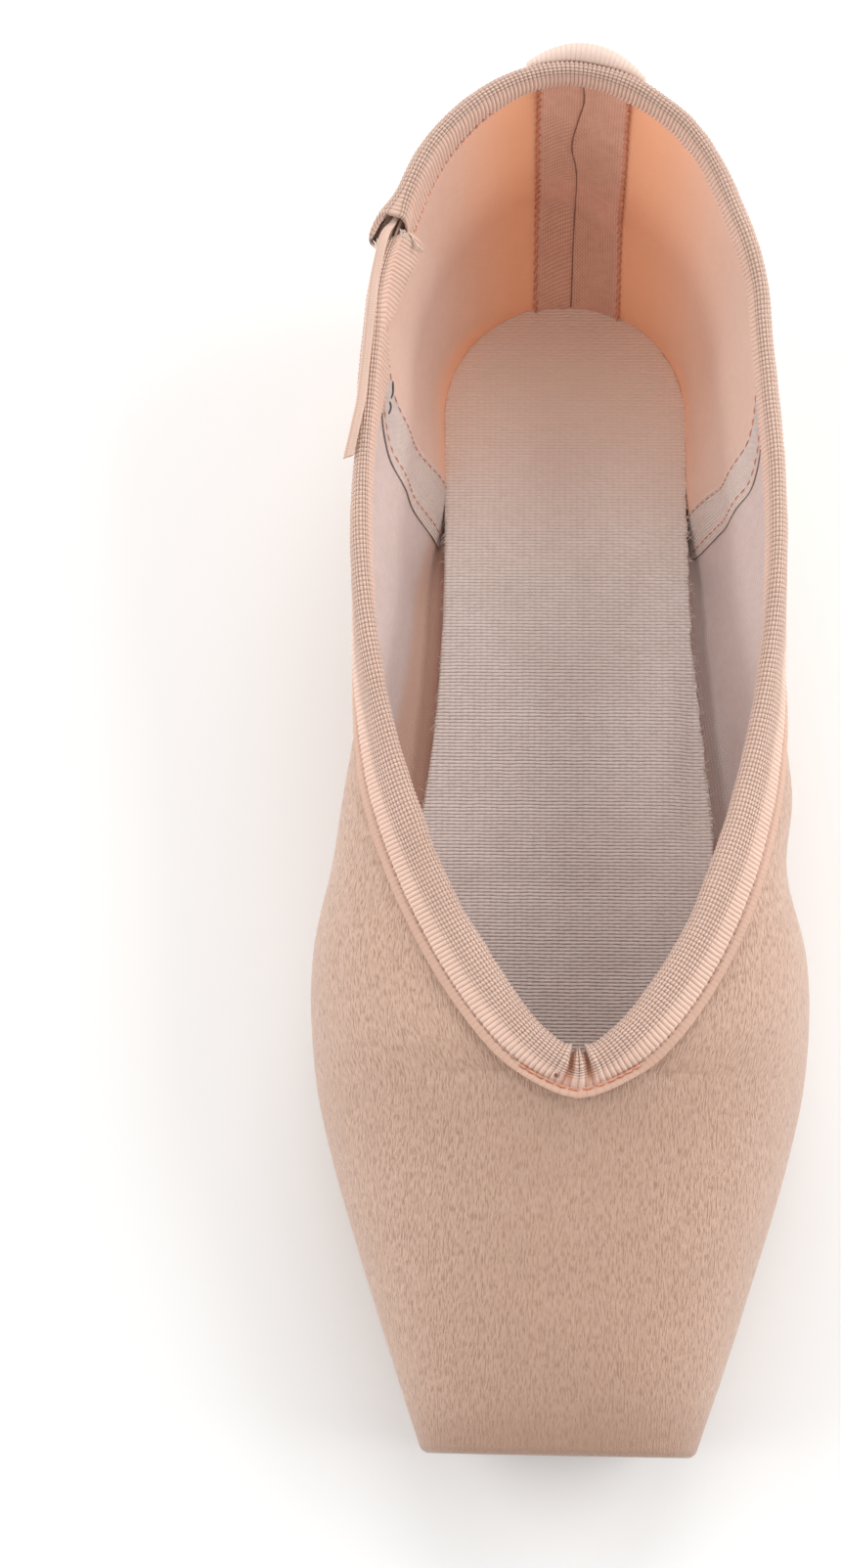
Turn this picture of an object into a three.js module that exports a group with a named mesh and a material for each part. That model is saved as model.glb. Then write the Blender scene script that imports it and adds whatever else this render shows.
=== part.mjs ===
// A pointe shoe standing on its sole, put together as its maker puts it together: a hollow satin upper with
// a stiff box and a flat platform, a leather outsole, a covered insole, the grosgrain casing round the
// collar with the free end of its drawstring, and the small loop of tape on the heel.
// Millimetres, +Z up, toe towards -Y. While it is modelled, the platform's face is at y = 0 and the floor
// at z = 0; at the end the whole shoe is moved to put its origin below its middle.

import * as THREE from "three";
import { mergeVertices } from "three/addons/utils/BufferGeometryUtils.js";

// Driving sizes of the last
const LENGTH = 231.4; // platform face to the back of the upper
const PLATFORM_WIDTH = 44; // across the platform, over its rounded edge
const BALL_WIDTH = 84; // widest part of the box
const SEAT_WIDTH = 57; // girth at the sides of the heel
const SEAT_REACH = 38; // heel pivot to the girth at the back
const COLLAR_WIDTH = 71.2; // widest part of the collar
const COLLAR_BACK_WIDTH = 67.4; // collar at the heel pivot
const PLATFORM_HEIGHT = 26.5; // top of the box above its sole line, at the platform
const THROAT_HEIGHT = 45.8; // edge of the upper at the throat
const WAIST_HEIGHT = 41; // edge of the upper at the waist
const BACK_HEIGHT = 54.4; // edge of the upper at the back seam
const PIVOT_REACH = 43.4; // back of the upper to the centre that the heel is rounded about
const THROAT = 58.3; // platform face to the edge of the upper at the throat
const V_END = 150; // platform face to where the collar is fully open

// Sole, walls and edges
const SOLE_THICKNESS = 2.6;
const TOE_SPRING = 3; // lift of the sole line at the platform
const SPRING_START = 42; // where the toe spring begins
const ARCH_RISE = 2.6; // lift of the sole line at the waist
const ARCH_FRONT = 106;
const ARCH_BACK = 184;
const BOX_WALL = 3; // stiffened layers of the box
const CLOTH_WALL = 1.6; // satin, canvas and lining elsewhere
const STIFF_END = 24; // where the box wall starts to thin
const CLOTH_START = 52; // where only cloth is left
const PLATFORM_EDGE = 3; // radius round the platform
const CLEARANCE = 0.3; // between neighbouring pieces
const CASING_CLEARANCE = 0.45; // between the casing and the upper's edge, which both bend there
const FEATHER_PLATFORM = 25; // width of the flat underside, at the platform
const FEATHER_BALL = 62;
const FEATHER_SEAT = 47;
const FEATHER_REACH = 24; // heel pivot to the end of the flat underside

// Outsole and insole
const SOLE_TIP = 24; // platform face to the tip of the outsole
const SOLE_BALL_WIDTH = 53;
const SOLE_WAIST_WIDTH = 29;
const SOLE_SEAT_WIDTH = 36;
const SOLE_BEVEL = 0.8;
const LASTING_LAP = 5; // how far the upper's edge runs in under the outsole's edge
const INSOLE_THICKNESS = 3.2;
const INSOLE_WIDTH = 45.6; // at the heel and waist
const INSOLE_TIP = 7;
const INSOLE_SHIFT = 0.4;
const INSOLE_ROUND = 1.3;

// Casing, drawstring and heel loop
const TAPE = 0.8; // thickness of the grosgrain
const TUNNEL = 2.2; // height of the drawstring's tunnel over the upper's edge
const OUTER_LEG = 6; // casing below the upper's edge, outside
const INNER_LEG = 5.4; // and inside
const CASING_BREAK = 3.4; // gap between the two ends of the casing
const BREAK_AT = -45; // where it is, along the edge from the back seam, left of it
const CORD_WIDTH = 2.4;
const CORD_THICKNESS = 1.4;
const LOOP_CENTRE = 3.4; // along the edge from the back seam
const LOOP_SPAN = 18;
const LOOP_TOP = 1.7; // above the upper's edge
const LOOP_BOTTOM = 7.5; // below the upper's edge
const LOOP_LIFT = 2.4; // how far its middle stands off
const LOOP_THICKNESS = 1;

// How finely curved surfaces are faceted
const UNDER_STEPS = 2;
const LOWER_STEPS = 4;
const UPPER_STEPS = 7;
const EDGE_STEPS = 3;
const FAN_STEPS = 12;
const STATION_STEP = 5.6;
const CASING_STEP = 4.8;
const FAN_LENGTH = 47; // length that the heel's quarter turn counts as along the way

// The sections of the last, from the platform to the back seam. The way runs along the sole to the heel
// pivot, as shares of its distance, and then turns about it. Feather and girth count through the named widths:
// 0 platform, 1 ball, 2 side of the heel, 3 back. Collar counts 0 widest, 1 heel pivot, 2 back. Rim counts
// through the named heights: 0 platform, 1 throat, 2 waist, 3 back. Swell is the girth's share of the rim
// height. Lean is the wall's slope inwards at the rim in degrees. Sway and shift are how far the girth and
// the collar lie to the right, as shares of BALL_WIDTH.
const COLUMNS = ["along", "turn", "feather", "girth", "swell", "collar", "rim", "lean", "sway", "shift"];
const SECTIONS = [
  [0, 0, 0, 0, 0.52, 0, 0, 90, 0, 0],
  [0.069, 0, 0.36, 0.235, 0.46, 0, 0.33, 90, 0, 0.006],
  [0.154, 0, 0.7, 0.51, 0.41, 0, 0.6, 90, 0, 0.014],
  [0.255, 0, 0.92, 0.81, 0.38, 0, 0.85, 90, 0, 0.024],
  [0.31, 0, 0.98, 0.935, 0.37, 0, 1, 90, 0, 0.029],
  [0.369, 0, 1, 1, 0.37, 0, 1.01, 81, 0, 0.031],
  [0.431, 0, 1.02, 1.02, 0.38, 0, 1.2, 72, -0.003, 0.029],
  [0.505, 0, 1.22, 1.27, 0.42, 0, 1.58, 61, -0.01, 0.023],
  [0.569, 0, 1.48, 1.31, 0.48, 0, 1.85, 49, 0.009, 0.018],
  [0.649, 0, 1.76, 1.56, 0.52, 0, 2, 27, 0.014, 0.014],
  [0.745, 0, 1.94, 1.79, 0.5, 0, 2.02, 3, 0.012, 0.01],
  [0.849, 0, 2, 1.89, 0.48, 0, 2.1, -7, 0.011, 0.008],
  [0.935, 0, 2, 1.96, 0.46, 0.5, 2.33, -8, 0.009, 0.006],
  [1, 0, 2, 2, 0.44, 1, 2.55, -8, 0.007, 0.005],
  [1, 30, 2.05, 2.08, 0.42, 1.04, 2.77, -7, 0.006, 0.004],
  [1, 60, 2.5, 2.52, 0.41, 1.6, 2.94, -5, 0.006, 0.004],
  [1, 90, 3, 3, 0.41, 2, 3, -3, 0.006, 0.004],
].map((row) => Object.fromEntries(COLUMNS.map((name, i) => [name, row[i]])));

// Half widths of the outsole at shares of the way to the heel pivot, counted through its named widths:
// 0 ball, 1 waist, 2 heel.
const SOLE_ROWS = [
  { at: 0.123, half: 0.12 },
  { at: 0.246, half: 0.06 },
  { at: 0.369, half: 0 },
  { at: 0.455, half: 0.06 },
  { at: 0.579, half: 0.56 },
  { at: 0.739, half: 0.98 },
  { at: 0.862, half: 1.18 },
  { at: 1, half: 2 },
];

// Half widths of the insole at shares of the way to the heel pivot, as shares of INSOLE_WIDTH / 2.
const INSOLE_ROWS = [
  { at: 0.037, half: 0.66 },
  { at: 0.154, half: 1.03 },
  { at: 0.271, half: 1.24 },
  { at: 0.394, half: 1.31 },
  { at: 0.492, half: 1.27 },
  { at: 0.566, half: 1.16 },
  { at: 0.64, half: 1.08 },
  { at: 0.751, half: 1 },
  { at: 0.862, half: 0.985 },
  { at: 1, half: 1 },
];

const radians = THREE.MathUtils.degToRad;
const mix = THREE.MathUtils.lerp;
const smooth = THREE.MathUtils.smoothstep;
const clamp = THREE.MathUtils.clamp;

// Counts through a list of sizes: 0 is the first, 1 the second, 1.5 half way to the third.
function through(sizes, count) {
  const whole = clamp(Math.floor(count), 0, sizes.length - 2);
  return mix(sizes[whole], sizes[whole + 1], count - whole);
}

// A smooth curve through knots of rising x. A closed end is flat, an open end keeps its last slope.
function curveThrough(knots, flatEnd = false) {
  const slope = (i) => (knots[i + 1].y - knots[i].y) / (knots[i + 1].x - knots[i].x);
  const last = knots.length - 1;
  const tangents = knots.map((knot, i) => {
    if (i === 0) return slope(0);
    if (i === last) return flatEnd ? 0 : slope(last - 1);
    const before = knot.x - knots[i - 1].x;
    const after = knots[i + 1].x - knot.x;
    return (slope(i - 1) * after + slope(i) * before) / (before + after);
  });
  return (x) => {
    let i = 0;
    while (i < last - 1 && x > knots[i + 1].x) i++;
    const span = knots[i + 1].x - knots[i].x;
    const t = clamp((x - knots[i].x) / span, 0, 1);
    const rise = 3 * t * t - 2 * t * t * t;
    const start = (t * t * t - 2 * t * t + t) * span * tangents[i];
    const end = (t * t * t - t * t) * span * tangents[i + 1];
    return mix(knots[i].y, knots[i + 1].y, rise) + start + end;
  };
}

// The way: sections up to the pivot are square to the sole, and then they turn about the pivot.
const PIVOT = LENGTH - PIVOT_REACH;
const WAY_END = PIVOT + FAN_LENGTH;
const turnAt = (way) => (Math.max(way - PIVOT, 0) / FAN_LENGTH) * (Math.PI / 2);
const wayOf = (row) => row.along * PIVOT + (row.turn / 90) * FAN_LENGTH;

const FEATHERS = [FEATHER_PLATFORM / 2, FEATHER_BALL / 2, FEATHER_SEAT / 2, FEATHER_REACH];
const GIRTHS = [PLATFORM_WIDTH / 2, BALL_WIDTH / 2, SEAT_WIDTH / 2, SEAT_REACH];
const COLLARS = [COLLAR_WIDTH / 2, COLLAR_BACK_WIDTH / 2, PIVOT_REACH];
const RIMS = [PLATFORM_HEIGHT, THROAT_HEIGHT, WAIST_HEIGHT, BACK_HEIGHT];

function lineOf(value) {
  return curveThrough(
    SECTIONS.map((row) => ({ x: wayOf(row), y: value(row) })),
    true,
  );
}
const LAST = {
  feather: lineOf((row) => through(FEATHERS, row.feather)),
  girth: lineOf((row) => through(GIRTHS, row.girth)),
  girthHeight: lineOf((row) => row.swell * through(RIMS, row.rim)),
  collar: lineOf((row) => through(COLLARS, row.collar)),
  rim: lineOf((row) => through(RIMS, row.rim)),
  lean: lineOf((row) => row.lean),
  sway: lineOf((row) => row.sway * BALL_WIDTH),
  shift: lineOf((row) => row.shift * BALL_WIDTH),
};

// Height of the outsole's underside: level under the ball and the heel, lifted at the toe and the arch.
function soleLine(way) {
  const toe = TOE_SPRING * Math.max((SPRING_START - way) / SPRING_START, 0) ** 2;
  const waist = clamp((way - ARCH_FRONT) / (ARCH_BACK - ARCH_FRONT), 0, 1);
  return toe + ARCH_RISE * Math.sin(Math.PI * waist) ** 2;
}

const wallAt = (way) => mix(BOX_WALL, CLOTH_WALL, smooth(way, STIFF_END, CLOTH_START));
const underside = (way) => soleLine(way) + SOLE_THICKNESS + CLEARANCE;
const insideFloor = (way) => underside(way) + wallAt(way) + CLEARANCE;

// Half width of the collar opening: none up to the throat, then a V with bowed sides.
const V_POWER = 0.68;
function openHalf(way) {
  const share = clamp((way - THROAT) / (V_END - THROAT), 0, 1);
  return LAST.collar(way) * (1 - (1 - share) ** 2) ** V_POWER;
}

const SOLE_HALVES = [SOLE_BALL_WIDTH / 2, SOLE_WAIST_WIDTH / 2, SOLE_SEAT_WIDTH / 2];
const soleSides = curveThrough(
  SOLE_ROWS.map((row) => ({ x: row.at * PIVOT, y: through(SOLE_HALVES, row.half) })),
  true,
);

// Half width of the outsole, and of the hole in the upper that it closes, which has the same outline drawn in.
const TIP_LENGTH = 26;
const tipRound = (share) => (1 - (1 - clamp(share, 0, 1)) ** 2.2) ** (1 / 2.2);
const soleHalf = (y) => soleSides(y) * tipRound((y - SOLE_TIP) / TIP_LENGTH);
const HOLE_START = SOLE_TIP + LASTING_LAP;
function holeHalf(way) {
  const side = soleSides(Math.min(way, PIVOT)) - LASTING_LAP;
  return side * tipRound((way - HOLE_START) / TIP_LENGTH);
}

const bezier = (a, b, c, d, t) =>
  a * (1 - t) ** 3 + 3 * b * t * (1 - t) ** 2 + 3 * c * t * t * (1 - t) + d * t ** 3;
const bezierSlope = (a, b, c, d, t) =>
  3 * (b - a) * (1 - t) ** 2 + 6 * (c - b) * t * (1 - t) + 3 * (d - c) * t * t;

// Points of one Bezier stretch of a profile, each with its outward normal in the section's plane.
function stretch(from, fromHandle, toHandle, to, steps, skipFirst) {
  const points = [];
  for (let i = skipFirst ? 1 : 0; i <= steps; i++) {
    const t = i / steps;
    const dr = bezierSlope(from.r, fromHandle.r, toHandle.r, to.r, t);
    const dz = bezierSlope(from.z, fromHandle.z, toHandle.z, to.z, t);
    const size = Math.hypot(dr, dz);
    points.push({
      r: bezier(from.r, fromHandle.r, toHandle.r, to.r, t),
      z: bezier(from.z, fromHandle.z, toHandle.z, to.z, t),
      nr: dz / size,
      nz: -dr / size,
    });
  }
  return points;
}

// One half of a section of the last: from the hole in the underside, or the middle of the underside, over
// the feather edge and the girth to the rim, or to the middle of the vamp.
const FULLNESS = 0.62; // how far the curves' handles reach to the corner
const LEAN_START = 14; // length over which the wall tips up behind the throat
function profileAt(way, side) {
  const base = soleLine(way);
  const bottom = underside(way);
  const square = Math.cos(turnAt(way));
  const sway = side * LAST.sway(way) * square;
  const shift = side * LAST.shift(way) * square;
  const inner = { r: holeHalf(way), z: bottom };
  const feather = { r: LAST.feather(way) + sway, z: bottom };
  const girth = { r: LAST.girth(way) + sway, z: base + LAST.girthHeight(way) };
  const rim = { r: openHalf(way) + shift, z: base + LAST.rim(way) };
  const lean = radians(mix(90, LAST.lean(way), smooth(way, THROAT, THROAT + LEAN_START)));
  const across = Math.abs(girth.r - rim.r) * Math.abs(Math.sin(lean));
  const reach = FULLNESS * (across + (rim.z - girth.z) * Math.abs(Math.cos(lean)));
  const third = (a, b, t) => ({ r: mix(a.r, b.r, t), z: mix(a.z, b.z, t) });
  return [
    ...stretch(inner, third(inner, feather, 1 / 3), third(inner, feather, 2 / 3), feather, UNDER_STEPS),
    ...stretch(
      feather,
      { r: mix(feather.r, girth.r, FULLNESS), z: feather.z },
      { r: girth.r, z: mix(girth.z, feather.z, FULLNESS) },
      girth,
      LOWER_STEPS,
      true,
    ),
    ...stretch(
      girth,
      { r: girth.r, z: mix(girth.z, rim.z, FULLNESS) },
      { r: rim.r + reach * Math.sin(lean), z: rim.z - reach * Math.cos(lean) },
      rim,
      UPPER_STEPS,
      true,
    ),
  ];
}

// Puts a point of a section, r out from its axis and z up, where it belongs in the shoe.
function place(way, side, r, z) {
  const turn = turnAt(way);
  return new THREE.Vector3(side * r * Math.cos(turn), Math.min(way, PIVOT) + r * Math.sin(turn), z);
}

// Collects triangles and joins their corners into one closed geometry.
class Skin {
  constructor() {
    this.corners = [];
  }
  triangle(a, b, c) {
    this.corners.push(a, b, c);
  }
  quad(a, b, c, d) {
    this.triangle(a, b, c);
    this.triangle(a, c, d);
  }
  // Joins two rows of points; flipped turns the faces round.
  strip(rowA, rowB, flipped) {
    for (let i = 0; i + 1 < rowA.length; i++) {
      if (flipped) this.quad(rowA[i], rowB[i], rowB[i + 1], rowA[i + 1]);
      else this.quad(rowA[i], rowA[i + 1], rowB[i + 1], rowB[i]);
    }
  }
  geometry() {
    const made = new THREE.BufferGeometry().setFromPoints(this.corners);
    const joined = mergeVertices(made, 1e-3);
    const index = joined.index.array;
    const kept = [];
    for (let i = 0; i < index.length; i += 3) {
      const [a, b, c] = [index[i], index[i + 1], index[i + 2]];
      if (a !== b && b !== c && c !== a) kept.push(a, b, c);
    }
    joined.setIndex(kept);
    joined.computeVertexNormals();
    return joined;
  }
}

// Even steps from one value to another, both ends included.
function evenly(from, to, step) {
  const count = Math.max(1, Math.round((to - from) / step));
  return Array.from({ length: count + 1 }, (_, i) => mix(from, to, i / count));
}

// Ways at which the upper has a section. Round the throat and the front of the hole they crowd together.
function stations() {
  const start = PLATFORM_EDGE + BOX_WALL;
  const crowd = [0.004, 0.03, 0.1, 0.24, 0.5, 1];
  const holeBack = HOLE_START + TIP_LENGTH / 2;
  const throatBack = THROAT + STATION_STEP * 2.6;
  return [
    ...evenly(start, HOLE_START, STATION_STEP),
    ...crowd.map((share) => mix(HOLE_START, holeBack, share)),
    ...evenly(holeBack, THROAT, STATION_STEP).slice(1),
    ...crowd.map((share) => mix(THROAT, throatBack, share)),
    ...evenly(throatBack, PIVOT, STATION_STEP).slice(1),
    ...evenly(PIVOT, WAY_END, FAN_LENGTH / FAN_STEPS).slice(1),
  ];
}

// The upper: one hollow wall, closed round the toes, open at the collar and where the outsole closes it.
function upperGeometry() {
  const skin = new Skin();
  const common = stations();
  for (const side of [1, -1]) {
    const flipped = side > 0;
    const outerRow = (way, inset = 0) =>
      profileAt(way, side).map((p) => place(way, side, p.r - p.nr * inset, p.z - p.nz * inset));
    const innerRow = (way) => outerRow(way, wallAt(way));
    const edge = evenly(0, 1, 1 / EDGE_STEPS).map((share) => {
      const turn = (share * Math.PI) / 2;
      const inset = PLATFORM_EDGE * (1 - Math.sin(turn));
      const y = PLATFORM_EDGE * (1 - Math.cos(turn));
      return outerRow(0, inset).map((p, i) => p.add(outerShift(y, side, i)).setY(y));
    });
    const outer = [...edge, ...common.map((way) => outerRow(way))];
    const inner = [innerRow(0).map((p, i) => p.add(outerShift(BOX_WALL, side, i)).setY(BOX_WALL))];
    inner.push(...common.map((way) => innerRow(way)));
    outer.slice(1).forEach((row, i) => skin.strip(outer[i], row, flipped));
    inner.slice(1).forEach((row, i) => skin.strip(inner[i], row, !flipped));
    for (const [row, turned] of [[outer[0], flipped], [inner[0], !flipped]]) {
      skin.strip(row.map((p, i) => p.clone().setX((i ? row.at(-1) : row[0]).x)), row, turned);
    }
    const openings = [
      { from: THROAT, end: -1, turned: !flipped },
      { from: HOLE_START, end: 0, turned: flipped },
    ];
    for (const { from, end, turned } of openings) {
      const open = common.filter((way) => way >= from - 1e-6).length;
      const edgeOf = (rows) => rows.slice(-open).map((row) => row.at(end));
      skin.strip(edgeOf(outer), edgeOf(inner), turned);
    }
  }
  return skin.geometry();
}

// How far the section's points move when the section is taken at y instead of at the platform's face.
function outerShift(y, side, index) {
  const at = profileAt(y, side)[index];
  const face = profileAt(0, side)[index];
  return new THREE.Vector3(side * (at.r - face.r), 0, at.z - face.z);
}

// The rim of the upper as one path, from the back seam both ways to the throat, measured along its length.
// Positive lengths lie on the right.
const RIM_SAMPLES = 240;
function rimPath() {
  const half = (side) => {
    const points = [];
    for (let i = 0; i <= RIM_SAMPLES; i++) {
      const share = i / RIM_SAMPLES;
      const way = mix(WAY_END, THROAT, 1 - (1 - share) ** 2);
      const rim = profileAt(way, side).at(-1);
      points.push({ way, side, at: place(way, side, rim.r, rim.z), s: 0 });
    }
    points.slice(1).forEach((p, i) => (p.s = points[i].s + p.at.distanceTo(points[i].at)));
    return points;
  };
  const right = half(1);
  const left = half(-1).map((p) => ({ ...p, s: -p.s }));
  return [...left.reverse(), ...right.slice(1)];
}
const RIM = rimPath();
const RIM_LENGTH = RIM.at(-1).s - RIM[0].s;

// The point of the rim at a length along it; past the throat it goes on along the other side.
function rimPoint(s) {
  let at = s;
  if (at > RIM.at(-1).s) at -= RIM_LENGTH;
  if (at < RIM[0].s) at += RIM_LENGTH;
  let i = 0;
  while (i < RIM.length - 2 && RIM[i + 1].s < at) i++;
  const share = (at - RIM[i].s) / (RIM[i + 1].s - RIM[i].s);
  return RIM[i].at.clone().lerp(RIM[i + 1].at, share);
}

// The nearest point of the last's outside in the section that a point lies in, and its outward normal there.
function onLast(point) {
  const side = point.x >= LAST.shift(Math.min(point.y, PIVOT)) * Math.min(1, (PIVOT - point.y) / PIVOT) ? 1 : -1;
  const past = point.y - PIVOT;
  const turn = past > 0 ? Math.atan2(past, Math.abs(point.x)) : 0;
  const way = past > 0 ? PIVOT + (turn / (Math.PI / 2)) * FAN_LENGTH : point.y;
  const r = past > 0 ? Math.hypot(past, point.x) : side * point.x;
  const rows = profileAt(way, side);
  let best = { gap: Infinity };
  for (let i = UNDER_STEPS; i + 1 < rows.length; i++) {
    const [a, b] = [rows[i], rows[i + 1]];
    const run = (b.r - a.r) ** 2 + (b.z - a.z) ** 2;
    const share = ((r - a.r) * (b.r - a.r) + (point.z - a.z) * (b.z - a.z)) / run;
    const t = clamp(share, 0, 1);
    const hit = { r: mix(a.r, b.r, t), z: mix(a.z, b.z, t) };
    const gap = Math.hypot(r - hit.r, point.z - hit.z);
    if (gap < best.gap) best = { gap, hit, nr: mix(a.nr, b.nr, t), nz: mix(a.nz, b.nz, t) };
  }
  const at = place(way, side, best.hit.r, best.hit.z);
  const outward = new THREE.Vector3(side * best.nr * Math.cos(turn), best.nr * Math.sin(turn), best.nz);
  return { at, outward: outward.normalize(), wall: wallAt(way) };
}

// What lies on the wall near the rim is placed by three measures: s along the rim, depth down the wall from
// the upper's edge, and height out from the wall's outside.
const WALK_STEP = 1.1;
function rimFrame(s) {
  const at = rimPoint(s);
  const along = rimPoint(s + 0.6).sub(rimPoint(s - 0.6)).normalize();
  const start = onLast(at);
  const down = start.outward.clone().cross(along).normalize();
  const outward = along.clone().cross(down).normalize();
  const path = [{ at, outward, wall: start.wall, depth: 0 }];
  const steps = Math.ceil(Math.max(OUTER_LEG, LOOP_BOTTOM) / WALK_STEP) + 1;
  for (let i = 1; i <= steps; i++) {
    const before = path[i - 1];
    const heading = down.clone().addScaledVector(before.outward, -down.dot(before.outward)).normalize();
    const next = onLast(before.at.clone().addScaledVector(heading, WALK_STEP));
    path.push({ ...next, depth: before.depth + next.at.distanceTo(before.at) });
  }
  return (depth, height) => {
    if (depth <= 0) return at.clone().addScaledVector(down, depth).addScaledVector(outward, height(start.wall));
    let i = 0;
    while (i < path.length - 2 && path[i + 1].depth < depth) i++;
    const share = (depth - path[i].depth) / (path[i + 1].depth - path[i].depth);
    const normal = path[i].outward.clone().lerp(path[i + 1].outward, share).normalize();
    const foot = path[i].at.clone().lerp(path[i + 1].at, share);
    return foot.addScaledVector(normal, height(mix(path[i].wall, path[i + 1].wall, share)));
  };
}

// The casing's section: a U of tape over the upper's edge, with the tunnel in its fold.
const LEG_SHARES = [1, 0.5];
const FOLD_STEPS = 5;
function casingSection() {
  const outside = () => CASING_CLEARANCE + TAPE;
  const legs = (length, height) => LEG_SHARES.map((share) => ({ depth: share * length, height }));
  const fold = (rise, reach) =>
    evenly(0, 1, 1 / FOLD_STEPS).map((share) => ({
      depth: -rise * Math.sin(share * Math.PI),
      height: (wall) => -wall / 2 + (wall / 2 + reach) * Math.cos(share * Math.PI),
    }));
  return [
    ...legs(OUTER_LEG, outside),
    ...fold(TUNNEL + TAPE, CASING_CLEARANCE + TAPE),
    ...legs(INNER_LEG, (wall) => -wall - CASING_CLEARANCE - TAPE).reverse(),
    ...legs(INNER_LEG, (wall) => -wall - CASING_CLEARANCE),
    ...fold(TUNNEL, CASING_CLEARANCE).reverse(),
    ...legs(OUTER_LEG, () => CASING_CLEARANCE).reverse(),
  ];
}

// Closes a row of rings into a solid with flat ends.
function tubeGeometry(rings, capAt) {
  const skin = new Skin();
  const loops = rings.map((ring) => [...ring, ring[0]]);
  loops.slice(1).forEach((loop, i) => skin.strip(loops[i], loop, false));
  capAt(skin, rings[0], true);
  capAt(skin, rings.at(-1), false);
  return skin.geometry();
}

// Ends a ring whose first half runs beside its second half, as a folded tape's does.
function pairedCap(skin, ring, first) {
  const half = ring.length / 2;
  const a = ring.slice(0, half);
  const b = ring.slice(half).reverse();
  skin.strip(a, b, first);
}

// The grosgrain casing, in one length from one side of its break round the heel and throat to the other.
function casingGeometry() {
  const section = casingSection();
  const from = BREAK_AT + CASING_BREAK / 2;
  const to = BREAK_AT - CASING_BREAK / 2 + RIM_LENGTH;
  const throatAt = RIM.at(-1).s;
  const half = [1.1, 2.3, 3.6, 5, 6.6, 8.4, 10.5, 13];
  const crowd = [...half.map((step) => -step).reverse(), 0, ...half].map((step) => throatAt + step);
  const ways = [
    ...evenly(from, crowd[0], CASING_STEP).slice(0, -1),
    ...crowd,
    ...evenly(crowd.at(-1), to, CASING_STEP).slice(1),
  ];
  const rings = ways.map((s) => {
    const frame = rimFrame(s);
    return section.map((p) => frame(p.depth, p.height));
  });
  return tubeGeometry(rings, pairedCap);
}

// The loop of ribbed tape on the back of the heel, sewn down at both ends and standing off between them.
function loopGeometry() {
  const floor = CASING_CLEARANCE + TAPE + CLEARANCE;
  const depths = evenly(-LOOP_TOP, LOOP_BOTTOM, LOOP_BOTTOM / 2);
  const rings = evenly(-1, 1, 0.2).map((share) => {
    const frame = rimFrame(LOOP_CENTRE + (share * LOOP_SPAN) / 2);
    const lift = LOOP_LIFT * Math.cos((share * Math.PI) / 2) ** 1.2;
    const inside = depths.map((depth) => frame(depth, () => floor + lift));
    const outside = depths.map((depth) => frame(depth, () => floor + lift + LOOP_THICKNESS));
    return [...inside, ...outside.reverse()];
  });
  return tubeGeometry(rings, pairedCap);
}

// A slab that follows the sole line, from sections across it. Each section gives its left and right half
// width, and its edge is drawn in at the corners.
function slabGeometry(sections) {
  const rings = sections.map(({ y, left, right, bottom, top, low, high }) => [
    new THREE.Vector3(left + low, y, bottom),
    new THREE.Vector3(left, y, bottom + low),
    new THREE.Vector3(left, y, top - high),
    new THREE.Vector3(left + high, y, top),
    new THREE.Vector3(right - high, y, top),
    new THREE.Vector3(right, y, top - high),
    new THREE.Vector3(right, y, bottom + low),
    new THREE.Vector3(right - low, y, bottom),
  ]);
  return tubeGeometry(rings, pairedCap);
}

// Sections along y for a slab that ends in a half circle of the given radius about the heel pivot.
function slabWays(from, crowded, radius) {
  const turns = evenly(0, 1, 1 / 7).slice(1, -1);
  const round = [...turns, 0.96].map((share) => PIVOT + radius * Math.sin((share * Math.PI) / 2));
  return [...crowded.map((share) => from + share), ...evenly(from + crowded.at(-1), PIVOT, 9).slice(1), ...round];
}
const roundHalf = (y, radius) => Math.sqrt(Math.max(radius * radius - Math.max(y - PIVOT, 0) ** 2, 0));

function outsoleGeometry() {
  const radius = SOLE_SEAT_WIDTH / 2;
  const ways = slabWays(SOLE_TIP, [0.12, 1, 3, 6, 10, 15], radius);
  return slabGeometry(
    ways.map((y) => {
      const half = y > PIVOT ? roundHalf(y, radius) : soleHalf(y);
      const sway = LAST.sway(Math.min(y, PIVOT));
      const low = Math.min(SOLE_BEVEL, half / 2);
      const base = soleLine(y);
      return { y, left: sway - half, right: sway + half, bottom: base, top: base + SOLE_THICKNESS, low, high: 0.01 };
    }),
  );
}

const insoleSides = curveThrough(
  INSOLE_ROWS.map((row) => ({ x: row.at * PIVOT, y: (row.half * INSOLE_WIDTH) / 2 })),
  true,
);

function insoleGeometry() {
  const radius = INSOLE_WIDTH / 2;
  const ways = slabWays(INSOLE_TIP, [0, 2, 7], radius);
  return slabGeometry(
    ways.map((y) => {
      const half = y > PIVOT ? roundHalf(y, radius) : insoleSides(y);
      const middle = LAST.sway(Math.min(y, PIVOT)) + INSOLE_SHIFT;
      const high = Math.min(INSOLE_ROUND, half / 2);
      const base = insideFloor(y);
      return { y, left: middle - half, right: middle + half, bottom: base, top: base + INSOLE_THICKNESS, low: 0.3, high };
    }),
  );
}

// The free end of the drawstring, out of the casing's mouth and forward along its outside. The points are
// chosen by hand: s along the rim, depth below the upper's edge, height out from the wall.
const CORD_ROUTE = [
  { s: -44.6, depth: -1.9, height: -0.8 },
  { s: -45.6, depth: -3.7, height: -0.8 },
  { s: -47.2, depth: -5, height: -0.8 },
  { s: -50, depth: -5, height: -0.8 },
  { s: -54, depth: -4.9, height: -0.7 },
  { s: -58, depth: -4.8, height: -0.5 },
  { s: -63, depth: -4.7, height: -0.3 },
  { s: -70, depth: -4.5, height: 0.1 },
  { s: -77, depth: -4.1, height: 0.7 },
  { s: -85.5, depth: -3.4, height: 1.4 },
];

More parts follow.
